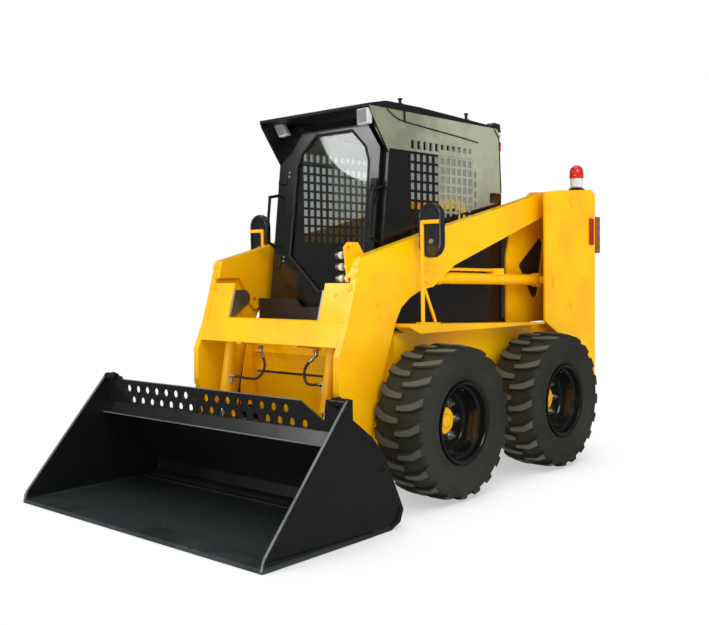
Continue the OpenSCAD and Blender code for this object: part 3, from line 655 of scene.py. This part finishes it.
class LOADER_OT_bucket_trim(Piece, bpy.types.Operator):
    """Skid strips, side bolts, heel caps, weld beads, corner barrels and pale strips of painted highlight and
    rubbed paint on the bucket's edges
    """

    bl_idname = "loader.bucket_trim"
    bl_label = "Bucket trim"

    # How far from the middle its side plates' faces, the beads and the strips of painted highlight on the edges lie
    FACE_X, BEAD_X, EDGE_X = 943, 931, 937
    # On a side plate, as (y, z): skid strip, heel cap and bolts
    SKID = ((-2026, 2), (-1352, 2), (-1336, 16), (-1352, 24), (-2020, 44))
    HEEL = ((-1210, 6), (-1150, 30), (-1126, 88), (-1150, 100), (-1172, 50), (-1216, 26))
    BOLTS = ((-1386, 470), (-1262, 300))
    # Ends of the weld beads where the floor and back meet a side plate, and of the pale strip along its front edge:
    # painted highlight on paint that is also rubbed
    BEADS = (((-1900, 14), (-1230, 14)), ((-1215, 14), (-1162, 38)), ((-1160, 40), (-1140, 88)),
             ((-1142, 92), (-1266, 352)), ((-1268, 356), (-1340, 432)), ((-1345, 438), (-1402, 466)),
             ((-1406, 468), (-1488, 480)))
    BRIGHT = (((-2028, 8), (-2012, 57)), ((-2012, 57), (-1503, 644)))
    # Middle of a corner barrel, and its rounds: (inner end, outer end, radius)
    BARREL = (-1495, 632)
    ROUNDS = ((846, 938, 0.022), (870, 884, 0.027))

    def build(self, sizes):
        bm = bmesh.new()
        plate(bm, side_view(self.FACE_X, self.SKID), (0.008, 0, 0))
        plate(bm, side_view(self.FACE_X, self.HEEL), (0.006, 0, 0))
        for y, z in self.BOLTS:
            bolt(bm, at(self.FACE_X, y, z), (1, 0, 0), sizes.bolt)
        for ends in self.BEADS:
            bar(bm, *side_view(self.BEAD_X, ends), 0.006, 8)
        mirror_x(bm)
        for y, z in ((-1908, 12), (-1262, 14)):
            bar(bm, at(-929, y, z), at(929, y, z), 0.005, 8)
        for side in (1, -1):
            for low, high, r in self.ROUNDS:
                bar(bm, at(side * low, *self.BARREL), at(side * high, *self.BARREL), r, 28)
            bolt(bm, at(side * 936, *self.BARREL), (side, 0, 0), 0.011)
        piece("bucket_trim", bm, "Bucket black", "bucket", bevel=0.002)
        # Painted highlights with wear: pale strips along the side plates' front edges, the crossbar and the guard.
        bm = bmesh.new()
        for ends in self.BRIGHT:
            bar(bm, *side_view(self.EDGE_X, ends), 0.0064, 8)
        mirror_x(bm)
        bar(bm, at(-928, -1531, 432), at(928, -1531, 432), 0.0035, 8)
        bar(bm, at(-780, -1496, 622), at(640, -1496, 622), 0.004, 8)
        piece("bucket_edges", bm, "Bright edge", "bucket")


def rings(bm, x, ends, lengths):
    """Rings about a cylinder that lies between two places on a side."""
    foot, eye = side_view(x, ends)
    axis = (eye - foot).normalized()
    for start, stop, r in lengths:
        bar(bm, foot + axis * start, foot + axis * stop, r, 32)


class LOADER_OT_hydraulics(Piece, bpy.types.Operator):
    """Couplers, rings of the cylinders, and the tube on the lift cylinder"""

    bl_idname = "loader.hydraulics"
    bl_label = "Hydraulics"

    COUPLER_ROOTS = [(491, -985, z) for z in (1180, 1240, 1300)]
    # Lengths of a coupler, inward from its root: (start, end, radius, sides)
    COUPLER = ((0.0, 0.014, 0.022, 6), (0.014, 0.034, 0.0155, 24),
               *((0.036 + far, 0.040 + far, 0.019, 24) for far in (0.0, 0.006, 0.012, 0.018)),
               (0.058, 0.077, 0.0165, 24), (0.075, 0.081, 0.0125, 24))
    # Foot and eye of a lift cylinder and of a tilt cylinder, and the tube along the lift cylinder: (y, z)
    LIFT_X, TILT_X = 520, 400
    LIFT = ((815, 1144), (-430, 1178))
    TILT = ((-970, 1070), (-1110, 340))
    TUBE = ((-200, 1206), (-180, 1216), (250, 1206), (300, 1196))
    # Rings along an axis from its foot: (start, end, radius)
    LIFT_RINGS = ((1.070, 1.123, 0.040), (0.050, 0.066, 0.038))
    TILT_RINGS = ((0.545, 0.593, 0.037),)

    def build(self, sizes):
        bm = bmesh.new()
        inward = Vector((-1, 0, 0))
        for place in self.COUPLER_ROOTS:
            root = at(*place)
            for start, stop, r, sides in self.COUPLER:
                bar(bm, root + inward * start, root + inward * stop, r, sides)
        piece("coupler_bodies", bm, "Zinc", "lift_arms", bevel=0.001)
        bm = bmesh.new()
        rings(bm, self.LIFT_X, self.LIFT, self.LIFT_RINGS)
        tube = [spot + Vector((0.02, 0, 0.006)) for spot in side_view(self.LIFT_X, self.TUBE)]
        for a, b in zip(tube, tube[1:]):
            bar(bm, a, b, 0.009, 12)
        block(bm, at(505, 255, 1180), at(552, 372, 1222))
        piece("lift_cylinder_rings", bm, "Loader yellow", "lift_barrels", bevel=0.002, both=True)
        bm = bmesh.new()
        rings(bm, self.TILT_X, self.TILT, self.TILT_RINGS)
        piece("tilt_cylinder_rings", bm, "Loader yellow", "tilt_barrels", bevel=0.002, both=True)


class LOADER_OT_hoses(Piece, bpy.types.Operator):
    """Front hoses between the cross member and the tilt cylinders, with their ends"""

    bl_idname = "loader.hoses"
    bl_label = "Hoses"

    # Route of a hose from its elbow to the cylinder's port, in millimetres
    ROUTE = [(199, -965, 749), (178, -974, 727), (168, -979, 714), (161, -983, 699), (159, -988, 682),
             (161, -993, 665), (168, -998, 650), (178, -1003, 637), (191, -1008, 627), (206, -1013, 620),
             (223, -1018, 618), (250, -1026, 619), (275, -1034, 621), (300, -1043, 625), (320, -1050, 628),
             (336, -1054, 629), (351.7, -1054.6, 629)]
    # Foot of the elbow above a hose, and the cylinder's port
    ELBOW, PORT = (218.9, -956.5, 798), (353, -1054.6, 629)

    def build(self, sizes):
        for name, side in (("left", 1), ("right", -1)):
            route = [at(side * x, y, z) for x, y, z in self.ROUTE]
            curve = bpy.data.curves.new("front_hose_" + name, "CURVE")
            curve.dimensions = "3D"
            curve.bevel_depth = sizes.hose / 2
            curve.bevel_resolution = 5
            curve.resolution_u = 4
            curve.use_fill_caps = True
            line = curve.splines.new("BEZIER")
            line.bezier_points.add(len(route) - 1)
            for point, place in zip(line.bezier_points, route):
                point.co = place
                point.handle_left_type = point.handle_right_type = "AUTO"
            hose = bpy.data.objects.new("front_hose_" + name, curve)
            bpy.context.scene.collection.objects.link(hose)
            curve.materials.append(MATERIALS["Hose rubber"])
            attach(hose, "lift_arms")
            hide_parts("front_hoses")
        bm = bmesh.new()
        route = [at(*place) for place in self.ROUTE]
        for end, inner in ((route[0], route[1]), (route[-1], route[-2])):
            axis = (inner - end).normalized()
            bar(bm, end - axis * 0.002, end + axis * 0.024, 0.0105, 20)
            bar(bm, end - axis * 0.002, end + axis * 0.008, 0.014, 6)
        elbow = at(*self.ELBOW)
        bar(bm, elbow, elbow - Vector((0, 0, 0.012)), 0.0175, 6)
        piece("hose_ends", bm, "Plated steel", "lift_arms", bevel=0.0008, both=True)
        bm = bmesh.new()
        port = at(*self.PORT)
        bar(bm, port, port + Vector((0.016, 0, 0)), 0.0145, 6)
        bar(bm, port + Vector((0.006, 0, 0)), port + Vector((0.006, -0.008, -0.045)), 0.009, 16)
        piece("port_elbows", bm, "Plated steel", "tilt_barrels", bevel=0.0008, both=True)


class LOADER_OT_door(Piece, bpy.types.Operator):
    """Door seal, latch, pull bar and hinge bolts"""

    bl_idname = "loader.door"
    bl_label = "Door"

    # Middle of the glass, and how far out of the face the seal and the latch lie
    MIDDLE, SEAL_OUT = 30, 28
    # Right half of the glass from the door's middle: (across, up the face), in millimetres
    GLASS = [(38, 168), (110, 230), (290, 373), (283, 892), (250, 977), (140, 1078)]
    # Place of the hinges across, their feet up the face, and their bolts up from a foot
    HINGE_X, HINGES, HINGE_BOLTS = -312, (333, 838), (13, 37)
    # Outline of the latch: (x, up the face)
    LATCH = ((345, 715), (385, 715), (385, 790), (345, 790))

    def build(self, sizes):
        bm = bmesh.new()
        ring = self.GLASS + [(-x, z) for x, z in reversed(self.GLASS)]
        corners = [on_front(self.MIDDLE + x, self.SEAL_OUT, z) for x, z in ring]
        bead(bm, corners + corners[:1], 0.007, 12)
        piece("door_seal", bm, "Black plastic", "cab_door")
        bm = bmesh.new()
        for z in self.HINGES:
            for up in self.HINGE_BOLTS:
                bolt(bm, on_front(self.HINGE_X, 24, z + up), OUTWARD, 0.008)
        piece("door_hinge_bolts", bm, "Plated steel", "cab_door", bevel=0.0006)
        bm = bmesh.new()
        plate(bm, [on_front(x, self.SEAL_OUT, z) for x, z in self.LATCH], OUTWARD * 16)
        bar(bm, on_front(365, 40, 752), on_front(365, 58, 752), 0.010, 16)
        bar(bm, on_front(365, 56, 745), on_front(345, 60, 650), 0.007, 12, 0.005)
        piece("door_latch", bm, "Black plastic", "cab_door", bevel=0.003)


class LOADER_OT_seat(Piece, bpy.types.Operator):
    """Padded seat and backrest, blown up as cloth"""

    bl_idname = "loader.seat"
    bl_label = "Seat"

    # Name, low and high corners before it swells, and backward lean in degrees
    PADS = [("seat_pad", (-212, -42, 1098), (212, 372, 1164), 0),
            ("seat_back", (-204, 330, 1186), (204, 390, 1622), 8)]
    # Rounding of a pad's edges, size of its even mesh, and the farthest that a point may swell out
    ROUND, VOXEL, SWELL = 0.022, 0.006, 0.014
    PRESSURE, FRAMES = 4, 20

    def swell(self, pad):
        """Blows a pad up as cloth and holds every point near its start."""
        scene = bpy.context.scene
        start = [v.co.copy() for v in pad.data.vertices]
        cloth = pad.modifiers.new("Swell", "CLOTH")
        cloth.settings.use_pressure = True
        cloth.settings.uniform_pressure_force = self.PRESSURE
        cloth.settings.effector_weights.gravity = 0
        cloth.point_cache.frame_start, cloth.point_cache.frame_end = 1, self.FRAMES
        for shown in range(1, self.FRAMES + 1):
            scene.frame_set(shown)
        bpy.ops.object.modifier_apply(modifier=cloth.name)
        scene.frame_set(1)
        for vertex, was in zip(pad.data.vertices, start):
            moved = vertex.co - was
            if moved.length > self.SWELL:
                vertex.co = was + moved.normalized() * self.SWELL

    def build(self, sizes):
        for name, low, high, lean in self.PADS:
            bm = bmesh.new()
            block(bm, at(*low), at(*high))
            bmesh.ops.bevel(bm, geom=bm.edges[:] + bm.verts[:], offset=self.ROUND, segments=4, affect="EDGES",
                            profile=0.5)
            centre = (at(*low) + at(*high)) / 2
            bmesh.ops.rotate(bm, verts=bm.verts, cent=centre, matrix=Matrix.Rotation(radians(-lean), 3, "X"))
            pad = piece(name, bm, "Seat vinyl", hard=80, stands_for=["seat"])
            bpy.context.view_layer.objects.active = pad
            remesh = pad.modifiers.new("Even", "REMESH")
            remesh.mode = "VOXEL"
            remesh.voxel_size = self.VOXEL
            remesh.use_smooth_shade = True
            bpy.ops.object.modifier_apply(modifier=remesh.name)
            self.swell(pad)
            smooth = pad.modifiers.new("Smooth", "SUBSURF")
            smooth.levels = smooth.render_levels = 1


class LOADER_OT_lamps(Piece, bpy.types.Operator):
    """Work lights, beacon, markers and tail lamps"""

    bl_idname = "loader.lamps"
    bl_label = "Lamps"

    # Foot of the beacon, its base as (x, y) with the height of its top, and turned sections: (up, radius)
    BEACON = (600, 1200, 1752)
    BASE, BASE_TOP = ((562, 1160), (640, 1160), (640, 1240), (562, 1240)), 1757
    DOME = [(72, 0), (72, 44), (78, 47), (122, 45), (142, 38), (156, 22), (160, 8), (161, 0)]
    RING = [(10, 0), (10, 40), (16, 42), (66, 42), (73, 40), (73, 0)]
    # Tail lamps: name, finish, and two corners of each block
    TAILS = [("tail_bodies", "Tail brown", [((560, 1388, 1320), (650, 1445, 1570))]),
             ("tail_brackets", "Plated steel", [((575, 1367, 1340), (636, 1390, 1550))]
              + [((648, 1402, z), (652, 1434, z + 12)) for z in (1352, 1418, 1484, 1540)]),
             ("tail_lenses", "Tail red", [((568, 1443, 1404), (642, 1452, 1562)),
                                          ((650, 1283, 1375), (661, 1335, 1555))]),
             ("tail_ambers", "Tail amber", [((568, 1443, 1328), (642, 1452, 1396))])]
    # Corners of a front lamp's face as (x, z), its place and depth along the machine
    FRONT = [([(-377, 2020), (-305, 2030), (-355, 2103), (-425, 2098)], -640, 0.040),
             ([(347, 1999), (426, 2005), (424, 2088), (345, 2086)], -752, 0.042)]
    # Rear lamp: outline of its housing and of its lens as (y, z), with their ends along x
    REAR, REAR_ENDS = ((436, 2119), (470, 2118), (520, 2086), (536, 2082), (524, 2134), (460, 2138)), (372, 430)
    LENS, LENS_ENDS = ((536, 2090), (526, 2127)), (378, 424)

    def build(self, sizes):
        foot, up = at(*self.BEACON), Vector((0, 0, 1))
        bm = bmesh.new()
        lathe(bm, self.DOME, foot, up, 40)
        piece("beacon_dome", bm, "Red plastic", bevel=0.001, stands_for=["beacon"])
        bm = bmesh.new()
        lathe(bm, self.RING, foot, up, 40)
        piece("beacon_ring", bm, "Milky plastic", bevel=0.001)
        bm = bmesh.new()
        plate(bm, [at(x, y, self.BASE_TOP) for x, y in self.BASE], up * -0.020)
        bar(bm, foot - up * 0.002, foot + up * 0.012, 0.036, 32)
        piece("beacon_base", bm, "Mirror shell", bevel=0.002)
        for name, finish, blocks in self.TAILS:
            bm = bmesh.new()
            for low, high in blocks:
                block(bm, at(*low), at(*high))
            stands_for = ["tail_lamps"] if name == "tail_bodies" else ()
            piece(name, bm, finish, bevel=0.002, stands_for=stands_for, both=True)
        housings, lenses = bmesh.new(), bmesh.new()
        for corners, y, deep in self.FRONT:
            front = [at(x, y, z) for x, z in corners]
            centre = sum(front, Vector()) / 4
            plate(housings, front, (0, deep, 0))
            plate(lenses, [centre + (c - centre) * 0.84 - Vector((0, 0.003, 0)) for c in front], (0, 0.005, 0))
        piece("front_lamps", housings, "Lamp body", bevel=0.008, segments=3, stands_for=["work_lights"])
        housings = bmesh.new()
        for side in (1, -1):
            low, high = sorted(side * x for x in self.REAR_ENDS)
            plate(housings, side_view(low, self.REAR), ((high - low) / 1000, 0, 0))
            low, high = sorted(side * x for x in self.LENS_ENDS)
            foot, top = self.LENS
            plate(lenses, [at(low, *foot), at(high, *foot), at(high, *top), at(low, *top)], (0, 0.005, 0.001))
        piece("rear_lamps", housings, "Mirror shell", bevel=0.004)
        piece("lamp_lenses", lenses, "Lamp glass", bevel=0.0015)
        bm = bmesh.new()
        block(bm, at(374, 510.5, 1969), at(416, 556.5, 2026))
        piece("rear_markers", bm, "Red plastic", slot="tail_red", bevel=0.003, both=True)


class LOADER_OT_cab_trim(Piece, bpy.types.Operator):
    """Studs on the roof, seams with black beads of painted shade, edge strips and corner blocks of the cab's sides,
    and dark sheets of painted shade by the engine
    """

    bl_idname = "loader.cab_trim"
    bl_label = "Cab trim"

    # How far from the middle the studs and the seams lie
    STUD_X, SIDE_X = 400, 430
    # A roof stud's place and heights: (y, foot, top)
    STUDS = [(-444, 2132, 2176), (193, 2116, 2168)]
    # On a cab side, as (y, z): the pressed seam, whose black bead is painted shade under the pressing, and the ends
    # of the strips along its rear edge
    SEAM_SHADE = [(-597, 2096), (-540, 2066), (-467, 2046), (-300, 2034), (-138, 2023), (70, 2010), (272, 1994)]
    STRIPS = [((508, 2036), (528, 1700)), ((455, 2094), (508, 2040))]

    def build(self, sizes):
        bm = bmesh.new()
        for y, foot, top in self.STUDS:
            rounds = ((foot, top, 0.009, 16), (foot, foot + 14, 0.020, 20), (top - 10, top, 0.013, 16))
            for low, high, r, n in rounds:
                bar(bm, at(self.STUD_X, y, low), at(self.STUD_X, y, high), r, n)
        piece("roof_studs", bm, "Gloss black", bevel=0.002)
        bm = bmesh.new()
        # Painted shade: a black bead along the pressing stands for the shadow under it
        bead(bm, smooth_path(side_view(self.SIDE_X, self.SEAM_SHADE)), 0.0045, 8)
        block(bm, at(428, -452, 2048), at(434, -438, 2100))
        for ends in self.STRIPS:
            bar(bm, *side_view(self.SIDE_X, ends), 0.005, 8)
        block(bm, at(429, 404, 1638), at(441, 516, 1694))
        piece("cab_seams_and_shade_lines", bm, "Gloss black", both=True)
        # Painted shade: dark sheets behind the towers' windows stand for the shade inside the engine bay
        bm = bmesh.new()
        block(bm, at(434.3, 518, 900), at(435.7, 1100, 1470))
        piece("engine_bay_shade", bm, "Cab inside", both=True)


class LOADER_OT_mirror_trim(Piece, bpy.types.Operator):
    """Rims, glass and bolts of the mirrors"""

    bl_idname = "loader.mirror_trim"
    bl_label = "Mirror trim"

    # Middle of a mirror as (x, z), radius of its ends, and half the length of its straight sides
    MIDDLE = (676, 1430)
    ROUND, STRAIGHT = 77, 70
    RIM_R = 0.0075

    def capsule(self, y, inset):
        """Outline of a mirror, set in from its edge."""
        x0, z0 = self.MIDDLE
        r = self.ROUND - inset
        return [at(x0 + r * cos(pi * i / 16), y, z0 + (self.STRAIGHT if i < 17 else -self.STRAIGHT)
                   + r * sin(pi * i / 16)) for i in range(33)]

    def build(self, sizes):
        bm = bmesh.new()
        ring = self.capsule(-541, 9)
        bead(bm, ring + ring[:1], self.RIM_R, 10)
        piece("mirror_rims", bm, "Mirror shell", both=True)
        bm = bmesh.new()
        plate(bm, self.capsule(-513, 8), (0, 0.003, 0))
        piece("mirror_glass", bm, "Mirror glass", both=True)
        bm = bmesh.new()
        bolt(bm, at(682, -541, 1372), (0, -1, 0), 0.009)
        piece("mirror_bolts", bm, "Plated steel", bevel=0.0008, both=True)


class LOADER_OT_frame_trim(Piece, bpy.types.Operator):
    """Bosses and bolts of the arms, bolts of the towers, and folds and cheeks of the nose"""

    bl_idname = "loader.frame_trim"
    bl_label = "Frame trim"

    TOWER_BOLTS = [(650, 1050, 1670), (650, 790, 1110), (650, 1030, 970)]
    ARM_BOLTS = [(570, -857, 1046), (570, -846, 978)]
    # Bosses on an arm's front edge, and the way they face; a bolt on the flange, and the way it faces
    BOSSES, FACING = [(552, -995, 1250), (546, -1011, 1196), (532, -1030, 1133)], Vector((0, -0.957, 0.289))
    FLANGE_BOLT, FLANGE_FACING = (445, -1041, 1095), (0, -0.962, 0.273)
    # Sections of the nose as (y, z): the cheek beside the lift arm's leg, and the folds across
    CHEEK = [(-742, 420), (-903, 438), (-896, 560), (-850, 770), (-818, 868), (-799, 905), (-799, 655)]
    FOLDS = [((-798, 640), (-806, 640), (-806, 652), (-800, 664)),
             ((-799, 742), (-822, 746), (-822, 752), (-799, 760))]

    def build(self, sizes):
        bm = bmesh.new()
        for place in self.TOWER_BOLTS:
            bolt(bm, at(*place), (1, 0, 0), sizes.bolt)
        piece("tower_bolts", bm, "Loader yellow", bevel=0.001, both=True)
        bm = bmesh.new()
        for place in self.BOSSES:
            foot = at(*place)
            bar(bm, foot - self.FACING * 0.003, foot + self.FACING * 0.008, 0.019, 24)
            bar(bm, foot, foot + self.FACING * 0.013, 0.009, 6)
        piece("arm_bosses", bm, "Loader yellow", "lift_arms", bevel=0.001, both=True)
        bm = bmesh.new()
        bolt(bm, at(*self.FLANGE_BOLT), self.FLANGE_FACING, 0.009)
        for place in self.ARM_BOLTS:
            bolt(bm, at(*place), (1, 0, 0), 0.008)
        piece("arm_bolts", bm, "Loader yellow", "lift_arms", bevel=0.0008, both=True)
        bm = bmesh.new()
        plate(bm, side_view(464, self.CHEEK), (0.006, 0, 0))
        mirror_x(bm)
        for fold in self.FOLDS:
            plate(bm, side_view(-430, fold), (0.860, 0, 0))
        piece("nose_folds", bm, "Loader yellow", bevel=0.0015)
        # Painted shade: a dark strip in the gap under the lower fold
        bm = bmesh.new()
        block(bm, at(-425, -799, 626), at(425, -795, 641))
        piece("nose_gap_shade", bm, "Cab inside")


def in_view(tree, path):
    """Rays from the camera, straight or through glass."""
    return calc(tree, "MAXIMUM", path["Is Camera Ray"], path["Is Transmission Ray"])


class LOADER_OT_stage(Piece, bpy.types.Operator):
    """Floor, soft lights and camera"""

    bl_idname = "loader.stage"
    bl_label = "Studio"

    CAMERA = (3.695, -4.223, 1.222)
    YAW, PITCH, ROLL = 41.226, 3.026, -0.724
    LENS, SENSOR = 47.14, 36
    SHIFT = (-0.0166, 0.0094)
    # Name, place, size, watts, and what they all point at
    LIGHTS = [("Key", (5.5, -3.0, 5.5), 4.0, 185), ("Fill", (-1.2, -7.0, 3.2), 4.4, 40),
              ("Low", (1.0, -7.5, 0.9), 2.2, 85), ("Top", (0.0, 1.0, 6.5), 6.0, 75),
              ("Card", (-5.15, -6.2, 4.8), 1.6, 46)]
    AIM = Vector((0, 0, 0.8))
    FLOOR_R, FLOOR_GLOW = 40, 0.5
    # Strength of the room for the loader, and for its gloss
    ROOM, ROOM_IN_GLOSS = 0.84, 0.13

    def floor(self, scene):
        """White disc that the loader stands on."""
        bm = bmesh.new()
        bmesh.ops.create_circle(bm, cap_ends=True, segments=64, radius=self.FLOOR_R)
        mesh = bpy.data.meshes.new("floor")
        bm.to_mesh(mesh)
        bm.free()
        floor = bpy.data.objects.new("floor", mesh)
        scene.collection.objects.link(floor)
        tree, skin = new_material("Studio floor")
        tone = scene.loader_colours.floor
        slow = use(tree, "grain", scale=20.0, panel=0.3)["Slow"]
        tree.links.new(blend_colour(tree, slow, tone, [c * 0.985 for c in tone]), skin["Base Color"])
        skin["Roughness"].default_value = 0.9
        # The view sees an evenly white floor with a soft shade under the loader, and gloss sees a dim one
        path = put(tree, "LightPath").outputs
        near = put(tree, "AmbientOcclusion", {"Distance": 0.5}, samples=12).outputs["AO"]
        shade = blend_colour(tree, ramp(tree, near, 0.15, 0.9), (0.50, 0.50, 0.51), WHITE)
        bright = put(tree, "Emission", {"Color": shade, "Strength": 1.0}).outputs[0]
        dim = put(tree, "BsdfDiffuse", {"Color": (0.16, 0.16, 0.17, 1)}).outputs[0]
        glow = put(tree, "Emission", {"Strength": self.FLOOR_GLOW}).outputs[0]
        bounce = put(tree, "AddShader", {0: tree.nodes["Principled BSDF"].outputs[0], 1: glow}).outputs[0]
        lit = put(tree, "MixShader", {0: path["Is Glossy Ray"], 1: bounce, 2: dim}).outputs[0]
        shown = put(tree, "MixShader", {0: in_view(tree, path), 1: lit, 2: bright}).outputs[0]
        tree.links.new(shown, tree.nodes["Material Output"].inputs["Surface"])
        mesh.materials.append(MATERIALS["Studio floor"])

    def room(self, scene):
        """White behind the loader and through its glass, dimmer where its enamel mirrors the room."""
        world = bpy.data.worlds.new("Studio")
        world.use_nodes = True
        sky = world.node_tree
        path = put(sky, "LightPath").outputs
        level = ramp(sky, in_view(sky, path), 0.0, 1.0, self.ROOM, 1.0)
        dimmer = ramp(sky, path["Is Glossy Ray"], 0.0, 1.0, 0.0, self.ROOM_IN_GLOSS - self.ROOM)
        back = sky.nodes["Background"].inputs
        back["Color"].default_value = (1, 1, 1, 1)
        sky.links.new(calc(sky, "ADD", level, dimmer), back["Strength"])
        scene.world = world

    def lamps(self, scene):
        """Soft round lamps."""
        for name, place, size, watts in self.LIGHTS:
            lamp = bpy.data.lights.new(name, "AREA")
            lamp.shape = "DISK"
            lamp.size = size
            lamp.energy = watts
            holder = bpy.data.objects.new(name, lamp)
            holder.location = place
            holder.rotation_euler = (self.AIM - Vector(place)).to_track_quat("-Z", "Y").to_euler()
            scene.collection.objects.link(holder)

    def camera(self, scene):
        """Camera of the main view."""
        yaw, pitch, roll = radians(self.YAW), radians(self.PITCH), radians(self.ROLL)
        look = Vector((-sin(yaw) * cos(pitch), cos(yaw) * cos(pitch), -sin(pitch)))
        right = Vector((cos(yaw), sin(yaw), 0))
        above = right.cross(look)
        right, above = right * cos(roll) + above * sin(roll), above * cos(roll) - right * sin(roll)
        lens = bpy.data.cameras.new("Camera")
        lens.sensor_width = self.SENSOR
        lens.lens = self.LENS
        lens.shift_x, lens.shift_y = self.SHIFT
        camera = bpy.data.objects.new("Camera", lens)
        camera.matrix_world = Matrix.Translation(self.CAMERA) @ Matrix((right, above, -look)).transposed().to_4x4()
        scene.collection.objects.link(camera)
        scene.camera = camera

    def build(self, sizes):
        scene = bpy.context.scene
        scene.view_settings.view_transform = "Standard"
        for part in (self.floor, self.room, self.lamps, self.camera):
            part(scene)


OPERATORS = [LOADER_OT_finishes, LOADER_OT_stage, LOADER_OT_tyres, LOADER_OT_rims, LOADER_OT_bucket_trim,
             LOADER_OT_hydraulics, LOADER_OT_hoses, LOADER_OT_door, LOADER_OT_seat, LOADER_OT_lamps,
             LOADER_OT_cab_trim, LOADER_OT_mirror_trim, LOADER_OT_frame_trim]


class LOADER_PT_panel(bpy.types.Panel):
    """Lists the pieces, sizes and colours of the loader"""

    bl_label = "Compact loader"
    bl_idname = "LOADER_PT_panel"
    bl_space_type = "VIEW_3D"
    bl_region_type = "UI"
    bl_category = "Loader"

    def draw(self, context):
        for holder in (context.scene.loader_sizes, context.scene.loader_colours):
            for key in holder.__annotations__:
                self.layout.prop(holder, key)
        for operator in OPERATORS:
            self.layout.operator(operator.bl_idname)


CLASSES = [LoaderColours, LoaderSizes, *OPERATORS, LOADER_PT_panel]


def register():
    for each in CLASSES:
        bpy.utils.register_class(each)
    bpy.types.Scene.loader_colours = bpy.props.PointerProperty(type=LoaderColours)
    bpy.types.Scene.loader_sizes = bpy.props.PointerProperty(type=LoaderSizes)


def unregister():
    del bpy.types.Scene.loader_sizes
    del bpy.types.Scene.loader_colours
    for each in reversed(CLASSES):
        bpy.utils.unregister_class(each)


def main():
    """Registers the add-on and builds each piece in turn."""
    register()
    for operator in OPERATORS:
        name = operator.bl_idname.split(".")[1]
        getattr(bpy.ops.loader, name)()


if __name__ == "__main__":
    main()
